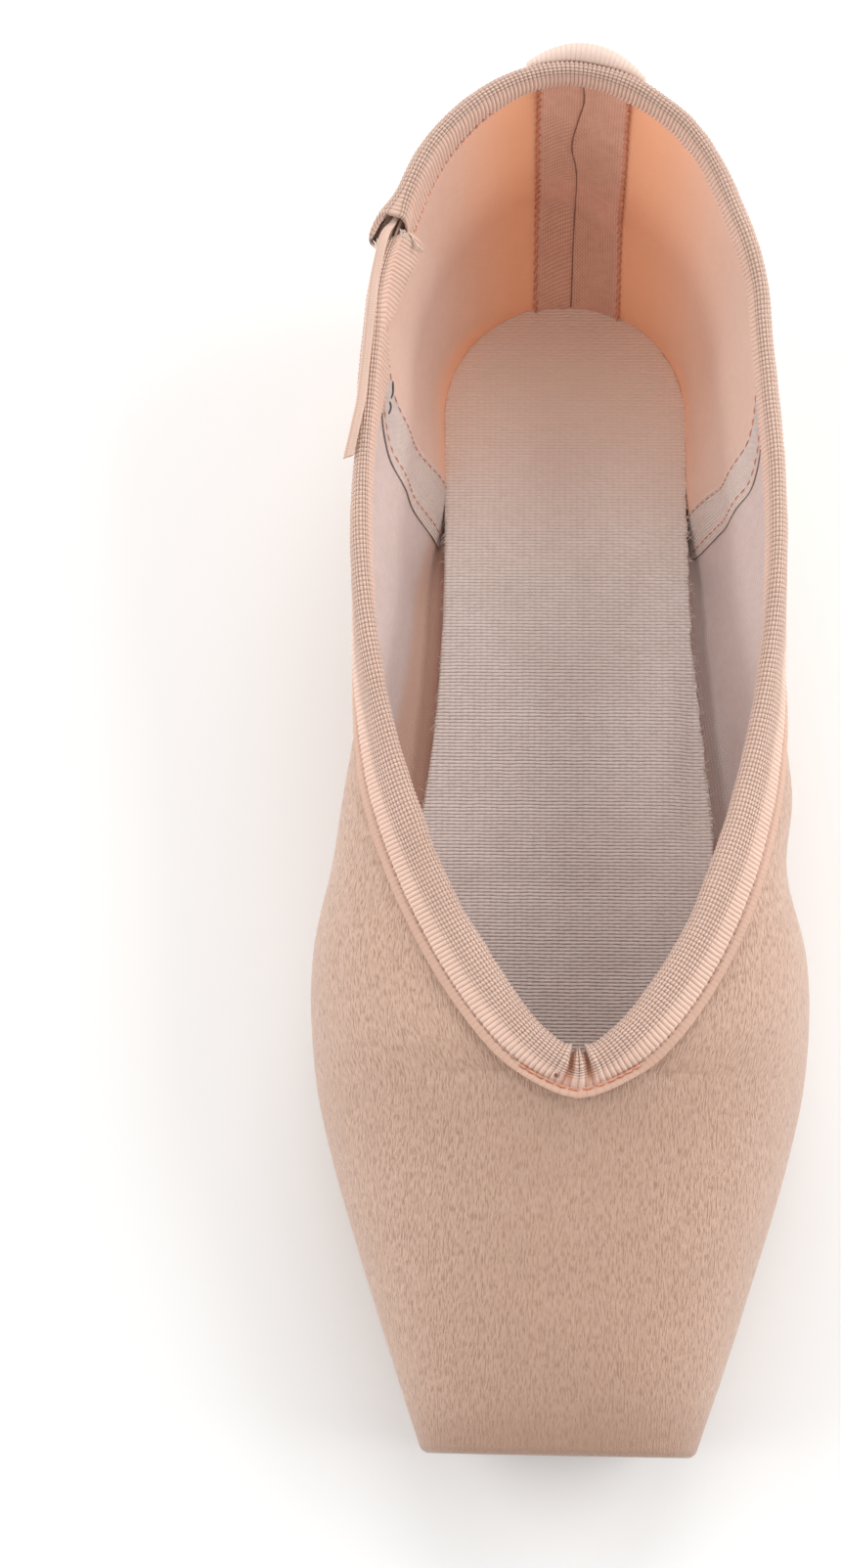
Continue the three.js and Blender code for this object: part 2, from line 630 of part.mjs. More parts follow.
function cordGeometry() {
  const points = CORD_ROUTE.map((p) => rimFrame(p.s)(p.depth, () => p.height));
  const shape = new THREE.Shape();
  shape.absellipse(0, 0, CORD_THICKNESS / 2, CORD_WIDTH / 2, 0, Math.PI * 2);
  return new THREE.ExtrudeGeometry(shape, {
    steps: 20,
    curveSegments: 8,
    bevelEnabled: false,
    extrudePath: new THREE.CatmullRomCurve3(points),
  });
}

// Finishes
const cloth = (color, roughness) => new THREE.MeshStandardMaterial({ color, roughness, metalness: 0 });
const SATIN = cloth(0xe3b99d, 0.45);
const GROSGRAIN = cloth(0xe0b59c, 0.7);
const ELASTIC = cloth(0xdfb8a4, 0.75);
const COTTON = cloth(0xcbb9b0, 0.9);
const LEATHER = cloth(0xb08a6a, 0.8);

const shoe = new THREE.Group();
function add(name, geometry, material) {
  const mesh = new THREE.Mesh(geometry, material);
  mesh.name = name;
  shoe.add(mesh);
}
add("upper", upperGeometry(), SATIN);
add("outsole", outsoleGeometry(), LEATHER);
add("insole", insoleGeometry(), COTTON);
add("collar_casing", casingGeometry(), GROSGRAIN);
add("heel_loop", loopGeometry(), ELASTIC);

// The origin lies below the middle of the shoe; the drawstring's end isn't counted in that.
const extent = new THREE.Box3().setFromObject(shoe);
const middle = extent.getCenter(new THREE.Vector3());
add("drawstring_end", cordGeometry(), ELASTIC);
shoe.position.set(-middle.x, -middle.y, -extent.min.z);

export default shoe;
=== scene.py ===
"""A worn pointe shoe in peach satin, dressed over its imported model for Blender 4.5.

Places on the shoe are in millimetres, measured from the platform's face (y = 0) and the floor (z = 0), as the
last is drawn; Bench.lay() turns them into the frame's metres. Colours are linear.
"""

import logging
import math
from collections.abc import Callable, Iterator, Sequence
from contextlib import contextmanager
from dataclasses import dataclass, field
from enum import Enum
from functools import cache, cached_property

import bpy
import numpy as np
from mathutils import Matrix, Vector
from mathutils.bvhtree import BVHTree


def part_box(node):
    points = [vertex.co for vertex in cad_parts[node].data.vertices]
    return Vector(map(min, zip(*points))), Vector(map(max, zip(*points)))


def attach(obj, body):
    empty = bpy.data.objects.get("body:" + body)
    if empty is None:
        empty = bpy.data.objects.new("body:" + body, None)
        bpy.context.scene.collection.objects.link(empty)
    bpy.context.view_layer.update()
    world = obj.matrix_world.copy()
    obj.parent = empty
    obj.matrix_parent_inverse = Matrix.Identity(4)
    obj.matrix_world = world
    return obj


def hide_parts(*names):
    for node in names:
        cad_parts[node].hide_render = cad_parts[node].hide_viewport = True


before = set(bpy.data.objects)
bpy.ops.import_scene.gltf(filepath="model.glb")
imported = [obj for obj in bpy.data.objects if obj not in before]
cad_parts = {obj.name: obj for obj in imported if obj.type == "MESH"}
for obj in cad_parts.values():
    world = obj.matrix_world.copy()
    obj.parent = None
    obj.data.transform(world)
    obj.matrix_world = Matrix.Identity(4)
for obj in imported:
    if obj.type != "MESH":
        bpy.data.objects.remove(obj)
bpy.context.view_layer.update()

LOG = logging.getLogger("pointe_shoe")
MM = 0.001
ROOT = "root"
Array = np.ndarray
Object = bpy.types.Object
Material = bpy.types.Material
Socket = bpy.types.NodeSocket
Tree = bpy.types.NodeTree
Node = bpy.types.Node
Part = Socket | float
Triple = tuple[float, float, float]
Colour = Triple


class Side(Enum):
    """The shoe's sides as the photograph shows them, with the sign of X there."""

    LEFT = -1
    RIGHT = 1


class Gauge(Enum):
    """Radii of the threads in millimetres."""

    FUZZ = 0.07
    FOLD = 0.11
    FINE = 0.13
    LOOSE = 0.14
    SEAM = 0.15
    STOUT = 0.16
    TACK = 0.17
    CORD = 0.26


# The last


class Line:
    """A smooth curve through knots of rising x, flat at its far end."""

    def __init__(self, xs: Sequence[float], ys: Sequence[float]) -> None:
        """Keeps the knots and works out the slope at each.

        Args:
            xs: Places of the knots, rising.
            ys: Values at them.
        """
        self.x = np.array(xs, float)
        self.y = np.array(ys, float)
        slope = np.diff(self.y) / np.diff(self.x)
        span = np.diff(self.x)
        inner = (slope[:-1] * span[1:] + slope[1:] * span[:-1]) / (span[:-1] + span[1:])
        self.t = np.concatenate([[slope[0]], inner, [0.0]])

    def __call__(self, x: Array | float) -> Array:
        """Reads the curve.

        Args:
            x: One or many places.

        Returns:
            The values there.
        """
        x = np.asarray(x, float)
        i = np.clip(np.searchsorted(self.x, x, side="right") - 1, 0, len(self.x) - 2)
        span = self.x[i + 1] - self.x[i]
        t = np.clip((x - self.x[i]) / span, 0, 1)
        rise = 3 * t**2 - 2 * t**3
        start = (t**3 - 2 * t**2 + t) * span * self.t[i]
        end = (t**3 - t**2) * span * self.t[i + 1]
        return self.y[i] + (self.y[i + 1] - self.y[i]) * rise + start + end


def through(sizes: Sequence[float], count: float) -> float:
    """Counts through a list of sizes: 0 is the first, 1.5 half way from the second to the third."""
    whole = int(min(max(math.floor(count), 0), len(sizes) - 2))
    return sizes[whole] + (sizes[whole + 1] - sizes[whole]) * (count - whole)


def smooth(x: Array, low: float, high: float) -> Array:
    """Rises softly from 0 at low to 1 at high."""
    t = np.clip((np.asarray(x, float) - low) / (high - low), 0, 1)
    return t * t * (3 - 2 * t)


def hump(x: Array, middle: float, width: float) -> Array:
    """A soft hump of height 1 round a middle."""
    return np.exp(-(((np.asarray(x, float) - middle) / width) ** 2))


def run_along(line: Array) -> Array:
    """The length along a line of places, at each of them."""
    return np.concatenate([[0], np.cumsum(np.linalg.norm(np.diff(line, axis=0), axis=1))])


def pick(line: Array, run: Array, at: Array) -> Array:
    """Places on a line, by the length along it."""
    return np.stack([np.interp(at, run, line[:, k]) for k in range(line.shape[1])], axis=1)


def spline(knots: Array, at: Array) -> Array:
    """Reads a smooth curve through knots.

    Args:
        knots: The knots, one in each row.
        at: Places counted in knots.

    Returns:
        Points on the curve.
    """
    padded = np.concatenate([2 * knots[:1] - knots[1:2], knots, 2 * knots[-1:] - knots[-2:-1]])
    i = np.clip(at.astype(int), 0, len(knots) - 2)
    t = (at - i)[:, None]
    a, b, c, d = (padded[i + k] for k in range(4))
    bend = (2 * a - 5 * b + 4 * c - d) * t**2 + (3 * b - a - 3 * c + d) * t**3
    return 0.5 * (2 * b + (c - a) * t + bend)


def stitches_in(start: float, end: float, pitch: float, length: float, count: int = 4) -> list[Array]:
    """Places along a seam for each of its stitches, a number of them in each."""
    return [np.linspace(s, s + length, count) for s in np.arange(start, end, pitch)]


def spread(*parts: Array) -> Array:
    """Stretches arrays over one another and makes their values the parts of places."""
    return np.stack(np.broadcast_arrays(*parts), axis=-1)


@dataclass(frozen=True)
class Last:
    """The form that the shoe is made on, with the driving sizes of the part in millimetres."""

    length: float = 231.4
    pivot_reach: float = 43.4
    platform_width: float = 44.0
    ball_width: float = 84.0
    seat_width: float = 57.0
    seat_reach: float = 38.0
    collar_width: float = 71.2
    collar_back_width: float = 67.4
    platform_height: float = 26.5
    throat_height: float = 45.8
    waist_height: float = 41.0
    back_height: float = 54.4
    throat: float = 58.3
    v_end: float = 150.0
    sole_thickness: float = 2.6
    toe_spring: float = 3.0
    spring_start: float = 42.0
    arch_rise: float = 2.6
    arch_front: float = 106.0
    arch_back: float = 184.0
    box_wall: float = 3.0
    cloth_wall: float = 1.6
    stiff_end: float = 24.0
    cloth_start: float = 52.0
    platform_edge: float = 3.0
    clearance: float = 0.3
    feather_platform: float = 25.0
    feather_ball: float = 62.0
    feather_seat: float = 47.0
    feather_reach: float = 24.0
    sole_tip: float = 24.0
    sole_widths: Triple = (53.0, 29.0, 36.0)
    lasting_lap: float = 5.0
    insole_width: float = 45.6
    insole_thickness: float = 3.2
    insole_shift: float = 0.4
    fan: float = 47.0
    fullness: float = 0.62
    tip_length: float = 26.0
    lean_start: float = 14.0
    v_power: float = 0.68
    # each row has along, turn, feather, girth, swell, collar, rim, lean, sway and shift
    sections: tuple[tuple[float, ...], ...] = (
        (0, 0, 0, 0, 0.52, 0, 0, 90, 0, 0),
        (0.069, 0, 0.36, 0.235, 0.46, 0, 0.33, 90, 0, 0.006),
        (0.154, 0, 0.7, 0.51, 0.41, 0, 0.6, 90, 0, 0.014),
        (0.255, 0, 0.92, 0.81, 0.38, 0, 0.85, 90, 0, 0.024),
        (0.31, 0, 0.98, 0.935, 0.37, 0, 1, 90, 0, 0.029),
        (0.369, 0, 1, 1, 0.37, 0, 1.01, 81, 0, 0.031),
        (0.431, 0, 1.02, 1.02, 0.38, 0, 1.2, 72, -0.003, 0.029),
        (0.505, 0, 1.22, 1.27, 0.42, 0, 1.58, 61, -0.01, 0.023),
        (0.569, 0, 1.48, 1.31, 0.48, 0, 1.85, 49, 0.009, 0.018),
        (0.649, 0, 1.76, 1.56, 0.52, 0, 2, 27, 0.014, 0.014),
        (0.745, 0, 1.94, 1.79, 0.5, 0, 2.02, 3, 0.012, 0.01),
        (0.849, 0, 2, 1.89, 0.48, 0, 2.1, -7, 0.011, 0.008),
        (0.935, 0, 2, 1.96, 0.46, 0.5, 2.33, -8, 0.009, 0.006),
        (1, 0, 2, 2, 0.44, 1, 2.55, -8, 0.007, 0.005),
        (1, 30, 2.05, 2.08, 0.42, 1.04, 2.77, -7, 0.006, 0.004),
        (1, 60, 2.5, 2.52, 0.41, 1.6, 2.94, -5, 0.006, 0.004),
        (1, 90, 3, 3, 0.41, 2, 3, -3, 0.006, 0.004),
    )
    sole_rows: tuple[tuple[float, float], ...] = (
        (0.123, 0.12),
        (0.246, 0.06),
        (0.369, 0),
        (0.455, 0.06),
        (0.579, 0.56),
        (0.739, 0.98),
        (0.862, 1.18),
        (1, 2),
    )
    insole_rows: tuple[tuple[float, float], ...] = (
        (0.037, 0.66),
        (0.154, 1.03),
        (0.271, 1.24),
        (0.394, 1.31),
        (0.492, 1.27),
        (0.566, 1.16),
        (0.64, 1.08),
        (0.751, 1),
        (0.862, 0.985),
        (1, 1),
    )
    lines: dict[str, Line] = field(default_factory=dict)

    def __post_init__(self) -> None:
        """Draws the curves through the sections."""
        ways = [row[0] * self.pivot + row[1] / 90 * self.fan for row in self.sections]
        feathers = [width / 2 for width in (self.feather_platform, self.feather_ball, self.feather_seat)]
        feathers.append(self.feather_reach)
        girths = (self.platform_width / 2, self.ball_width / 2, self.seat_width / 2, self.seat_reach)
        collars = (self.collar_width / 2, self.collar_back_width / 2, self.pivot_reach)
        rims = (self.platform_height, self.throat_height, self.waist_height, self.back_height)
        columns = {
            "feather": [through(feathers, row[2]) for row in self.sections],
            "girth": [through(girths, row[3]) for row in self.sections],
            "girth_height": [row[4] * through(rims, row[6]) for row in self.sections],
            "collar": [through(collars, row[5]) for row in self.sections],
            "rim": [through(rims, row[6]) for row in self.sections],
            "lean": [row[7] for row in self.sections],
            "sway": [row[8] * self.ball_width for row in self.sections],
            "shift": [row[9] * self.ball_width for row in self.sections],
        }
        self.lines.update({name: Line(ways, values) for name, values in columns.items()})
        halves = [width / 2 for width in self.sole_widths]
        self.lines["sole"] = Line(
            [at * self.pivot for at, _ in self.sole_rows],
            [through(halves, half) for _, half in self.sole_rows],
        )
        self.lines["insole"] = Line(
            [at * self.pivot for at, _ in self.insole_rows],
            [half * self.insole_width / 2 for _, half in self.insole_rows],
        )

    @property
    def pivot(self) -> float:
        """Distance from the platform's face to the centre that the heel is rounded about."""
        return self.length - self.pivot_reach

    @property
    def way_end(self) -> float:
        """The way at the back seam."""
        return self.pivot + self.fan

    def turn(self, way: Array) -> Array:
        """Angle of the section about the heel's pivot, in radians."""
        return np.maximum(way - self.pivot, 0) / self.fan * (math.pi / 2)

    def sole_line(self, way: Array) -> Array:
        """Height of the outsole's underside, with its toe spring and its arch.

        Args:
            way: Places along the shoe.

        Returns:
            The height at each.
        """
        toe = self.toe_spring * (np.maximum(self.spring_start - way, 0) / self.spring_start) ** 2
        waist = np.clip((way - self.arch_front) / (self.arch_back - self.arch_front), 0, 1)
        return toe + self.arch_rise * np.sin(math.pi * waist) ** 2

    def wall(self, way: Array) -> Array:
        """Thickness of the upper's wall."""
        soft = smooth(way, self.stiff_end, self.cloth_start)
        return self.box_wall + (self.cloth_wall - self.box_wall) * soft

    def underside(self, way: Array) -> Array:
        """Height of the upper's flat underside."""
        return self.sole_line(way) + self.sole_thickness + self.clearance

    def inside_floor(self, way: Array) -> Array:
        """Height of the insole's underside."""
        return self.underside(way) + self.wall(way) + self.clearance

    def tip_round(self, share: Array) -> Array:
        """Rounding of the outsole's tip, from 0 at the tip to 1."""
        return (1 - (1 - np.clip(share, 0, 1)) ** 2.2) ** (1 / 2.2)

    def sole_half(self, y: Array) -> Array:
        """Half width of the outsole in front of the pivot."""
        return self.lines["sole"](y) * self.tip_round((y - self.sole_tip) / self.tip_length)

    def hole_half(self, way: Array) -> Array:
        """Half width of the hole in the upper that the outsole closes."""
        side = self.lines["sole"](np.minimum(way, self.pivot)) - self.lasting_lap
        return side * self.tip_round((way - self.sole_tip - self.lasting_lap) / self.tip_length)

    def open_half(self, way: Array) -> Array:
        """Half width of the collar opening."""
        share = np.clip((way - self.throat) / (self.v_end - self.throat), 0, 1)
        return self.lines["collar"](way) * (1 - (1 - share) ** 2) ** self.v_power

    def profile(self, way: Array, q: Array, side: Side) -> tuple[Array, Array, Array, Array]:
        """One half of the sections.

        Args:
            way: Places along the shoe.
            q: Places round the section: 0 hole, 1 feather edge, 2 girth, 3 rim or middle of the vamp.
            side: Which half.

        Returns:
            Distance out, height, and the outward normal's two parts, one row for each way.
        """
        way = np.asarray(way, float)[:, None]
        q = np.asarray(q, float)[None, :]
        square = np.cos(self.turn(way))
        sway = side.value * self.lines["sway"](way) * square
        shift = side.value * self.lines["shift"](way) * square
        base = self.sole_line(way)
        bottom = self.underside(way)
        feather = self.lines["feather"](way) + sway
        girth = self.lines["girth"](way) + sway
        girth_z = base + self.lines["girth_height"](way)
        rim = self.open_half(way) + shift
        rim_z = base + self.lines["rim"](way)
        tip = smooth(way, self.throat, self.throat + self.lean_start)
        lean = np.radians(90 + (self.lines["lean"](way) - 90) * tip)
        across = np.abs(girth - rim) * np.abs(np.sin(lean))
        reach = self.fullness * (across + (rim_z - girth_z) * np.abs(np.cos(lean)))
        full = self.fullness
        hole = self.hole_half(way)
        third = (feather - hole) / 3
        curves = (
            ((hole, bottom), (hole + third, bottom), (feather - third, bottom), (feather, bottom)),
            (
                (feather, bottom),
                (feather + (girth - feather) * full, bottom),
                (girth, girth_z + (bottom - girth_z) * full),
                (girth, girth_z),
            ),
            (
                (girth, girth_z),
                (girth, girth_z + (rim_z - girth_z) * full),
                (rim + reach * np.sin(lean), rim_z - reach * np.cos(lean)),
                (rim, rim_z),
            ),
        )
        shape = np.broadcast_shapes(way.shape, q.shape)
        r, z, dr, dz = (np.zeros(shape) for _ in range(4))
        for k, points in enumerate(curves):
            here = (np.minimum(np.floor(q), 2) == k) & np.ones(shape, bool)
            t = np.clip(q - k, 0, 1)
            for axis, (value, slope) in enumerate(((r, dr), (z, dz))):
                a, b, c, d = (point[axis] for point in points)
                put = a * (1 - t) ** 3 + 3 * b * t * (1 - t) ** 2 + 3 * c * t**2 * (1 - t) + d * t**3
                run = 3 * (b - a) * (1 - t) ** 2 + 6 * (c - b) * t * (1 - t) + 3 * (d - c) * t**2
                value[here] = (put + np.zeros(shape))[here]
                slope[here] = (run + np.zeros(shape))[here]
        size = np.maximum(np.hypot(dr, dz), 1e-9)
        return r, z, dz / size, -dr / size

    def place(self, way: Array, r: Array, z: Array, side: Side) -> Array:
        """Puts points of sections where they belong in the shoe.

        Args:
            way: Places along the shoe.
            r: Distances out, one row for each way.
            z: Heights.
            side: Which half.

        Returns:
            The points.
        """
        way = np.asarray(way, float)[:, None]
        turn = self.turn(way)
        x = side.value * r * np.cos(turn)
        y = np.minimum(way, self.pivot) + r * np.sin(turn)
        return np.stack([x, y, z], axis=-1)

    def skin(self, way: Array, q: Array, side: Side, inset: Array | float = 0.0) -> Array:
        """Points on the last or inset under its surface.

        Args:
            way: Places along the shoe.
            q: Places round the section.
            side: Which half.
            inset: How far the points lie under the surface.

        Returns:
            One row of points for each way.
        """
        r, z, nr, nz = self.profile(way, q, side)
        depth = np.zeros_like(r) + inset
        return self.place(way, r - nr * depth, z - nz * depth, side)

    def trace(self, way: Array, q: Array, side: Side, share: float) -> Array:
        """Points on a line inside the wall, which runs over the sections.

        Args:
            way: Places along the shoe.
            q: The place round the section at each.
            side: Which half.
            share: How deep the line lies, as a share of the wall's thickness.

        Returns:
            One point for each way.
        """
        inset = self.wall(way)[:, None] * share
        r, z, nr, nz = (np.diag(part)[:, None] for part in self.profile(way, q, side))
        return self.place(way, r - nr * inset, z - nz * inset, side)[:, 0]

    def toe(self, q: Array, side: Side, steps: int, inset: float, edge: float) -> Array:
        """Rows over the platform's face and its rounded edge.

        The face has one row for each place under the feather edge, so that its rows end on the same corners.

        Args:
            q: Places round the section.
            side: Which half.
            steps: Rows over the rounded edge.
            inset: How far the surface lies inside the platform's face.
            edge: Radius of the rounded edge at the last's surface.

        Returns:
            Rows of points, from the face's middle outwards.
        """
        edge = max(edge - inset, 0.01)
        face = np.zeros(1)
        _, _, nr, nz = self.profile(face, q, side)
        rows = []
        for share in np.linspace(0, 1, steps + 1):
            turn = share * math.pi / 2
            y = inset + edge * (1 - math.cos(turn))
            r1, z1, _, _ = self.profile(np.array([y]), q, side)
            drawn = inset + edge * (1 - math.sin(turn))
            row = self.place(face, r1 - nr * drawn, z1 - nz * drawn, side)[0]
            row[:, 1] = y
            rows.append(row)
        first = rows[0]
        under = q < 1
        feather = first[np.searchsorted(q, 1.0), 0]
        flat = []
        for share in q[under]:
            row = first.copy()
            row[:, 0] = first[:, 0] * share
            row[under, 0] = np.where(q[under] <= share, first[under, 0], feather * share)
            flat.append(row)
        return np.array(flat + rows)


LAST = Last()


# Mesh helpers


SEED_HASH = 374761393
PLACE_HASHES = (668265263, 2147483647, 1274126177)


def noise(points: Array, seed: int, size: float) -> Array:
    """Smooth value noise between -1 and 1.

    Args:
        points: Places, in the last array axis.
        seed: Which pattern.
        size: Distance between its bumps.

    Returns:
        One value for each place.
    """
    p = points / size
    low = np.floor(p).astype(np.int64)
    f = p - low
    f = f * f * (3 - 2 * f)
    total = np.zeros(points.shape[:-1])
    dims = points.shape[-1]
    for corner in range(2**dims):
        weight = np.ones(points.shape[:-1])
        key = np.full(points.shape[:-1], seed * SEED_HASH, np.int64)
        for axis in range(dims):
            bit = (corner >> axis) & 1
            weight = weight * (f[..., axis] if bit else 1 - f[..., axis])
            key = key + (low[..., axis] + bit) * PLACE_HASHES[axis]
        key = (key ^ (key >> 13)) * PLACE_HASHES[2]
        key = (key ^ (key >> 16)) & 0xFFFF
        total += weight * (key / 32767.5 - 1)
    return total


class Bench:
    """Where pieces are cut, laid on the last and finished."""

    offset = Vector((0.0, 0.0, 0.0))

    @classmethod
    def set_up(cls) -> None:
        """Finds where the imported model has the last's origin."""
        low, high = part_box("upper")
        q = np.linspace(0, 3, 40)
        way = np.linspace(3, LAST.way_end, 200)
        sides = [LAST.skin(way, q, side)[..., 0] for side in Side]
        middle = (min(s.min() for s in sides) + max(s.max() for s in sides)) / 2
        cls.offset = Vector(((low[0] + high[0]) / 2 - middle * MM, low[1], 0.0))

    @classmethod
    def lay(cls, points: Array) -> Array:
        """Turns places on the last into the frame's metres."""
        return np.asarray(points, float) * MM + np.array(cls.offset)

    @staticmethod
    def clear() -> None:
        """Deselects everything."""
        if bpy.context.object and bpy.context.object.mode != "OBJECT":
            bpy.ops.object.mode_set(mode="OBJECT")
        bpy.ops.object.select_all(action="DESELECT")

    @classmethod
    def take(cls, *objects: Object) -> Object:
        """Selects pieces and makes the first one active.

        Args:
            *objects: The pieces.

        Returns:
            The first piece.
        """
        cls.clear()
        for piece in objects:
            piece.select_set(True)
        bpy.context.view_layer.objects.active = objects[0]
        return objects[0]

    @classmethod
    def cloth(cls, name: str, points: Array, uv: Array | None = None, flip: bool = False) -> Object:
        """Adds a flat grid and lays it on a surface.

        Args:
            name: The piece's name.
            points: Rows of places for the grid's vertices, in millimetres.
            uv: Rows of flat places in millimetres, kept in metres in the UV map "cloth".
            flip: Whether to turn the faces round.

        Returns:
            The piece.
        """
        rows, columns = points.shape[:2]
        cls.clear()
        bpy.ops.mesh.primitive_grid_add(x_subdivisions=columns - 1, y_subdivisions=rows - 1, size=2)
        piece = bpy.context.object
        piece.name = piece.data.name = name
        mesh = piece.data
        flat = np.empty(len(mesh.vertices) * 3)
        mesh.vertices.foreach_get("co", flat)
        flat = flat.reshape(-1, 3)
        column = np.rint((flat[:, 0] + 1) / 2 * (columns - 1)).astype(int)
        row = np.rint((flat[:, 1] + 1) / 2 * (rows - 1)).astype(int)
        mesh.vertices.foreach_set("co", cls.lay(points)[row, column].ravel())
        if uv is not None:
            cls.paint_uv(mesh, (uv * MM)[row, column])
        if flip:
            mesh.flip_normals()
        mesh.update()
        return piece

    @staticmethod
    def paint_uv(mesh: bpy.types.Mesh, values: Array) -> None:
        """Keeps a flat place for each vertex in the UV map "cloth".

        Args:
            mesh: The mesh.
            values: The flat places in metres.
        """
        layer = mesh.uv_layers.get("cloth") or mesh.uv_layers.new(name="cloth")
        corner = np.empty(len(mesh.loops), np.int32)
        mesh.loops.foreach_get("vertex_index", corner)
        layer.data.foreach_set("uv", values[corner].astype(np.float32).ravel())
        for other in [l for l in mesh.uv_layers if l.name != "cloth"]:
            mesh.uv_layers.remove(other)

    @classmethod
    @contextmanager
    def editing(cls, piece: Object) -> Iterator[None]:
        """Opens a piece for edit operators with all of it selected, and closes it again.

        Args:
            piece: The piece.

        Yields:
            Nothing, while the piece is open.
        """
        cls.take(piece)
        bpy.ops.object.mode_set(mode="EDIT")
        bpy.ops.mesh.select_all(action="SELECT")
        yield
        bpy.ops.object.mode_set(mode="OBJECT")

    @classmethod
    def join(cls, name: str, pieces: Sequence[Object], weld: float = 0.02) -> Object:
        """Joins pieces into one and welds corners that meet.

        Args:
            name: The joined piece's name.
            pieces: What to join.
            weld: Distance in millimetres under which corners become one.

        Returns:
            The joined piece.
        """
        piece = cls.take(*pieces)
        if len(pieces) > 1:
            bpy.ops.object.join()
        with cls.editing(piece):
            bpy.ops.mesh.remove_doubles(threshold=weld * MM)
            bpy.ops.mesh.dissolve_degenerate(threshold=1e-7)
        piece.name = piece.data.name = name
        return piece

    @classmethod
    def outward(cls, piece: Object) -> None:
        """Turns a closed piece's faces outwards."""
        with cls.editing(piece):
            bpy.ops.mesh.normals_make_consistent(inside=False)

    @classmethod
    def thicken(cls, piece: Object, thickness: float, offset: float = -1.0) -> None:
        """Gives a sheet its thickness.

        Args:
            piece: The sheet.
            thickness: The thickness in millimetres.
            offset: Where the sheet ends up in it, from -1 for its outside to 1 for its inside.
        """
        cls.take(piece)
        wall = piece.modifiers.new("thickness", "SOLIDIFY")
        wall.thickness = thickness * MM
        wall.offset = offset
        wall.use_even_offset = False
        bpy.ops.object.modifier_apply(modifier=wall.name)

    @classmethod
    def shade(cls, piece: Object, degrees: float = 50.0) -> None:
        """Shades a piece smooth except over sharp edges."""
        cls.take(piece)
        bpy.ops.object.shade_smooth_by_angle(angle=math.radians(degrees))

    @classmethod
    def ring(cls, name: str, rings: Array, uv: Array | None = None) -> Object:
        """Makes a closed bar from rings of points, with both ends filled.

        Args:
            name: The piece's name.
            rings: Rows of rings in millimetres, each running once round.
            uv: Flat places for them.

        Returns:
            The piece.
        """
        closed = np.concatenate([rings, rings[:, :1]], axis=1)
        closed_uv = None
        if uv is not None:
            closed_uv = uv if uv.shape[1] == closed.shape[1] else np.concatenate([uv, uv[:, -1:]], axis=1)
        piece = cls.cloth(name, closed, closed_uv)
        piece = cls.join(name, [piece], weld=0.002)
        with cls.editing(piece):
            bpy.ops.mesh.region_to_loop()
            bpy.ops.mesh.fill_holes(sides=0)
        cls.outward(piece)
        return piece

    @classmethod
    def sew(
        cls,
        name: str,
        paths: Sequence[Array],
        gauge: Gauge,
        slot: str,
        material: Material,
        ends: float = 0.7,
        resolution: int = 1,
    ) -> None:
        """Makes round threads along paths, as one finished mesh piece.

        Args:
            name: The piece's name.
            paths: One array of places in millimetres for each thread.
            gauge: How thick the thread is.
            slot: Not used.
            material: Its finish.
            ends: Width of its ends as a share of its middle.
            resolution: Roundness of the section.
        """
        cls.clear()
        curve = bpy.data.curves.new(name, "CURVE")
        curve.dimensions = "3D"
        curve.bevel_depth = gauge.value * MM
        curve.bevel_resolution = resolution
        curve.use_fill_caps = True
        for path in paths:
            line = curve.splines.new("POLY")
            line.points.add(len(path) - 1)
            for point, place in zip(line.points, cls.lay(path)):
                point.co = (*place, 1.0)
            line.points[0].radius = line.points[-1].radius = ends
        piece = bpy.data.objects.new(name, curve)
        bpy.context.collection.objects.link(piece)
        cls.take(piece)
        bpy.ops.object.convert(target="MESH")
        piece = bpy.context.object
        piece.name = piece.data.name = name
        cls.shade(piece, 80)
        cls.finish(piece, slot, material)

    @staticmethod
    def finish(piece: Object, slot: str, *materials: Material) -> None:
        """Gives a piece its materials and its body.

        Args:
            piece: The piece.
            slot: Not used.
            *materials: Its finishes, in the order of their numbers in the mesh.
        """
        piece.data.materials.clear()
        for material in materials:
            piece.data.materials.append(material)
        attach(piece, ROOT)
        LOG.info("%s: %d faces", piece.name, len(piece.data.polygons))


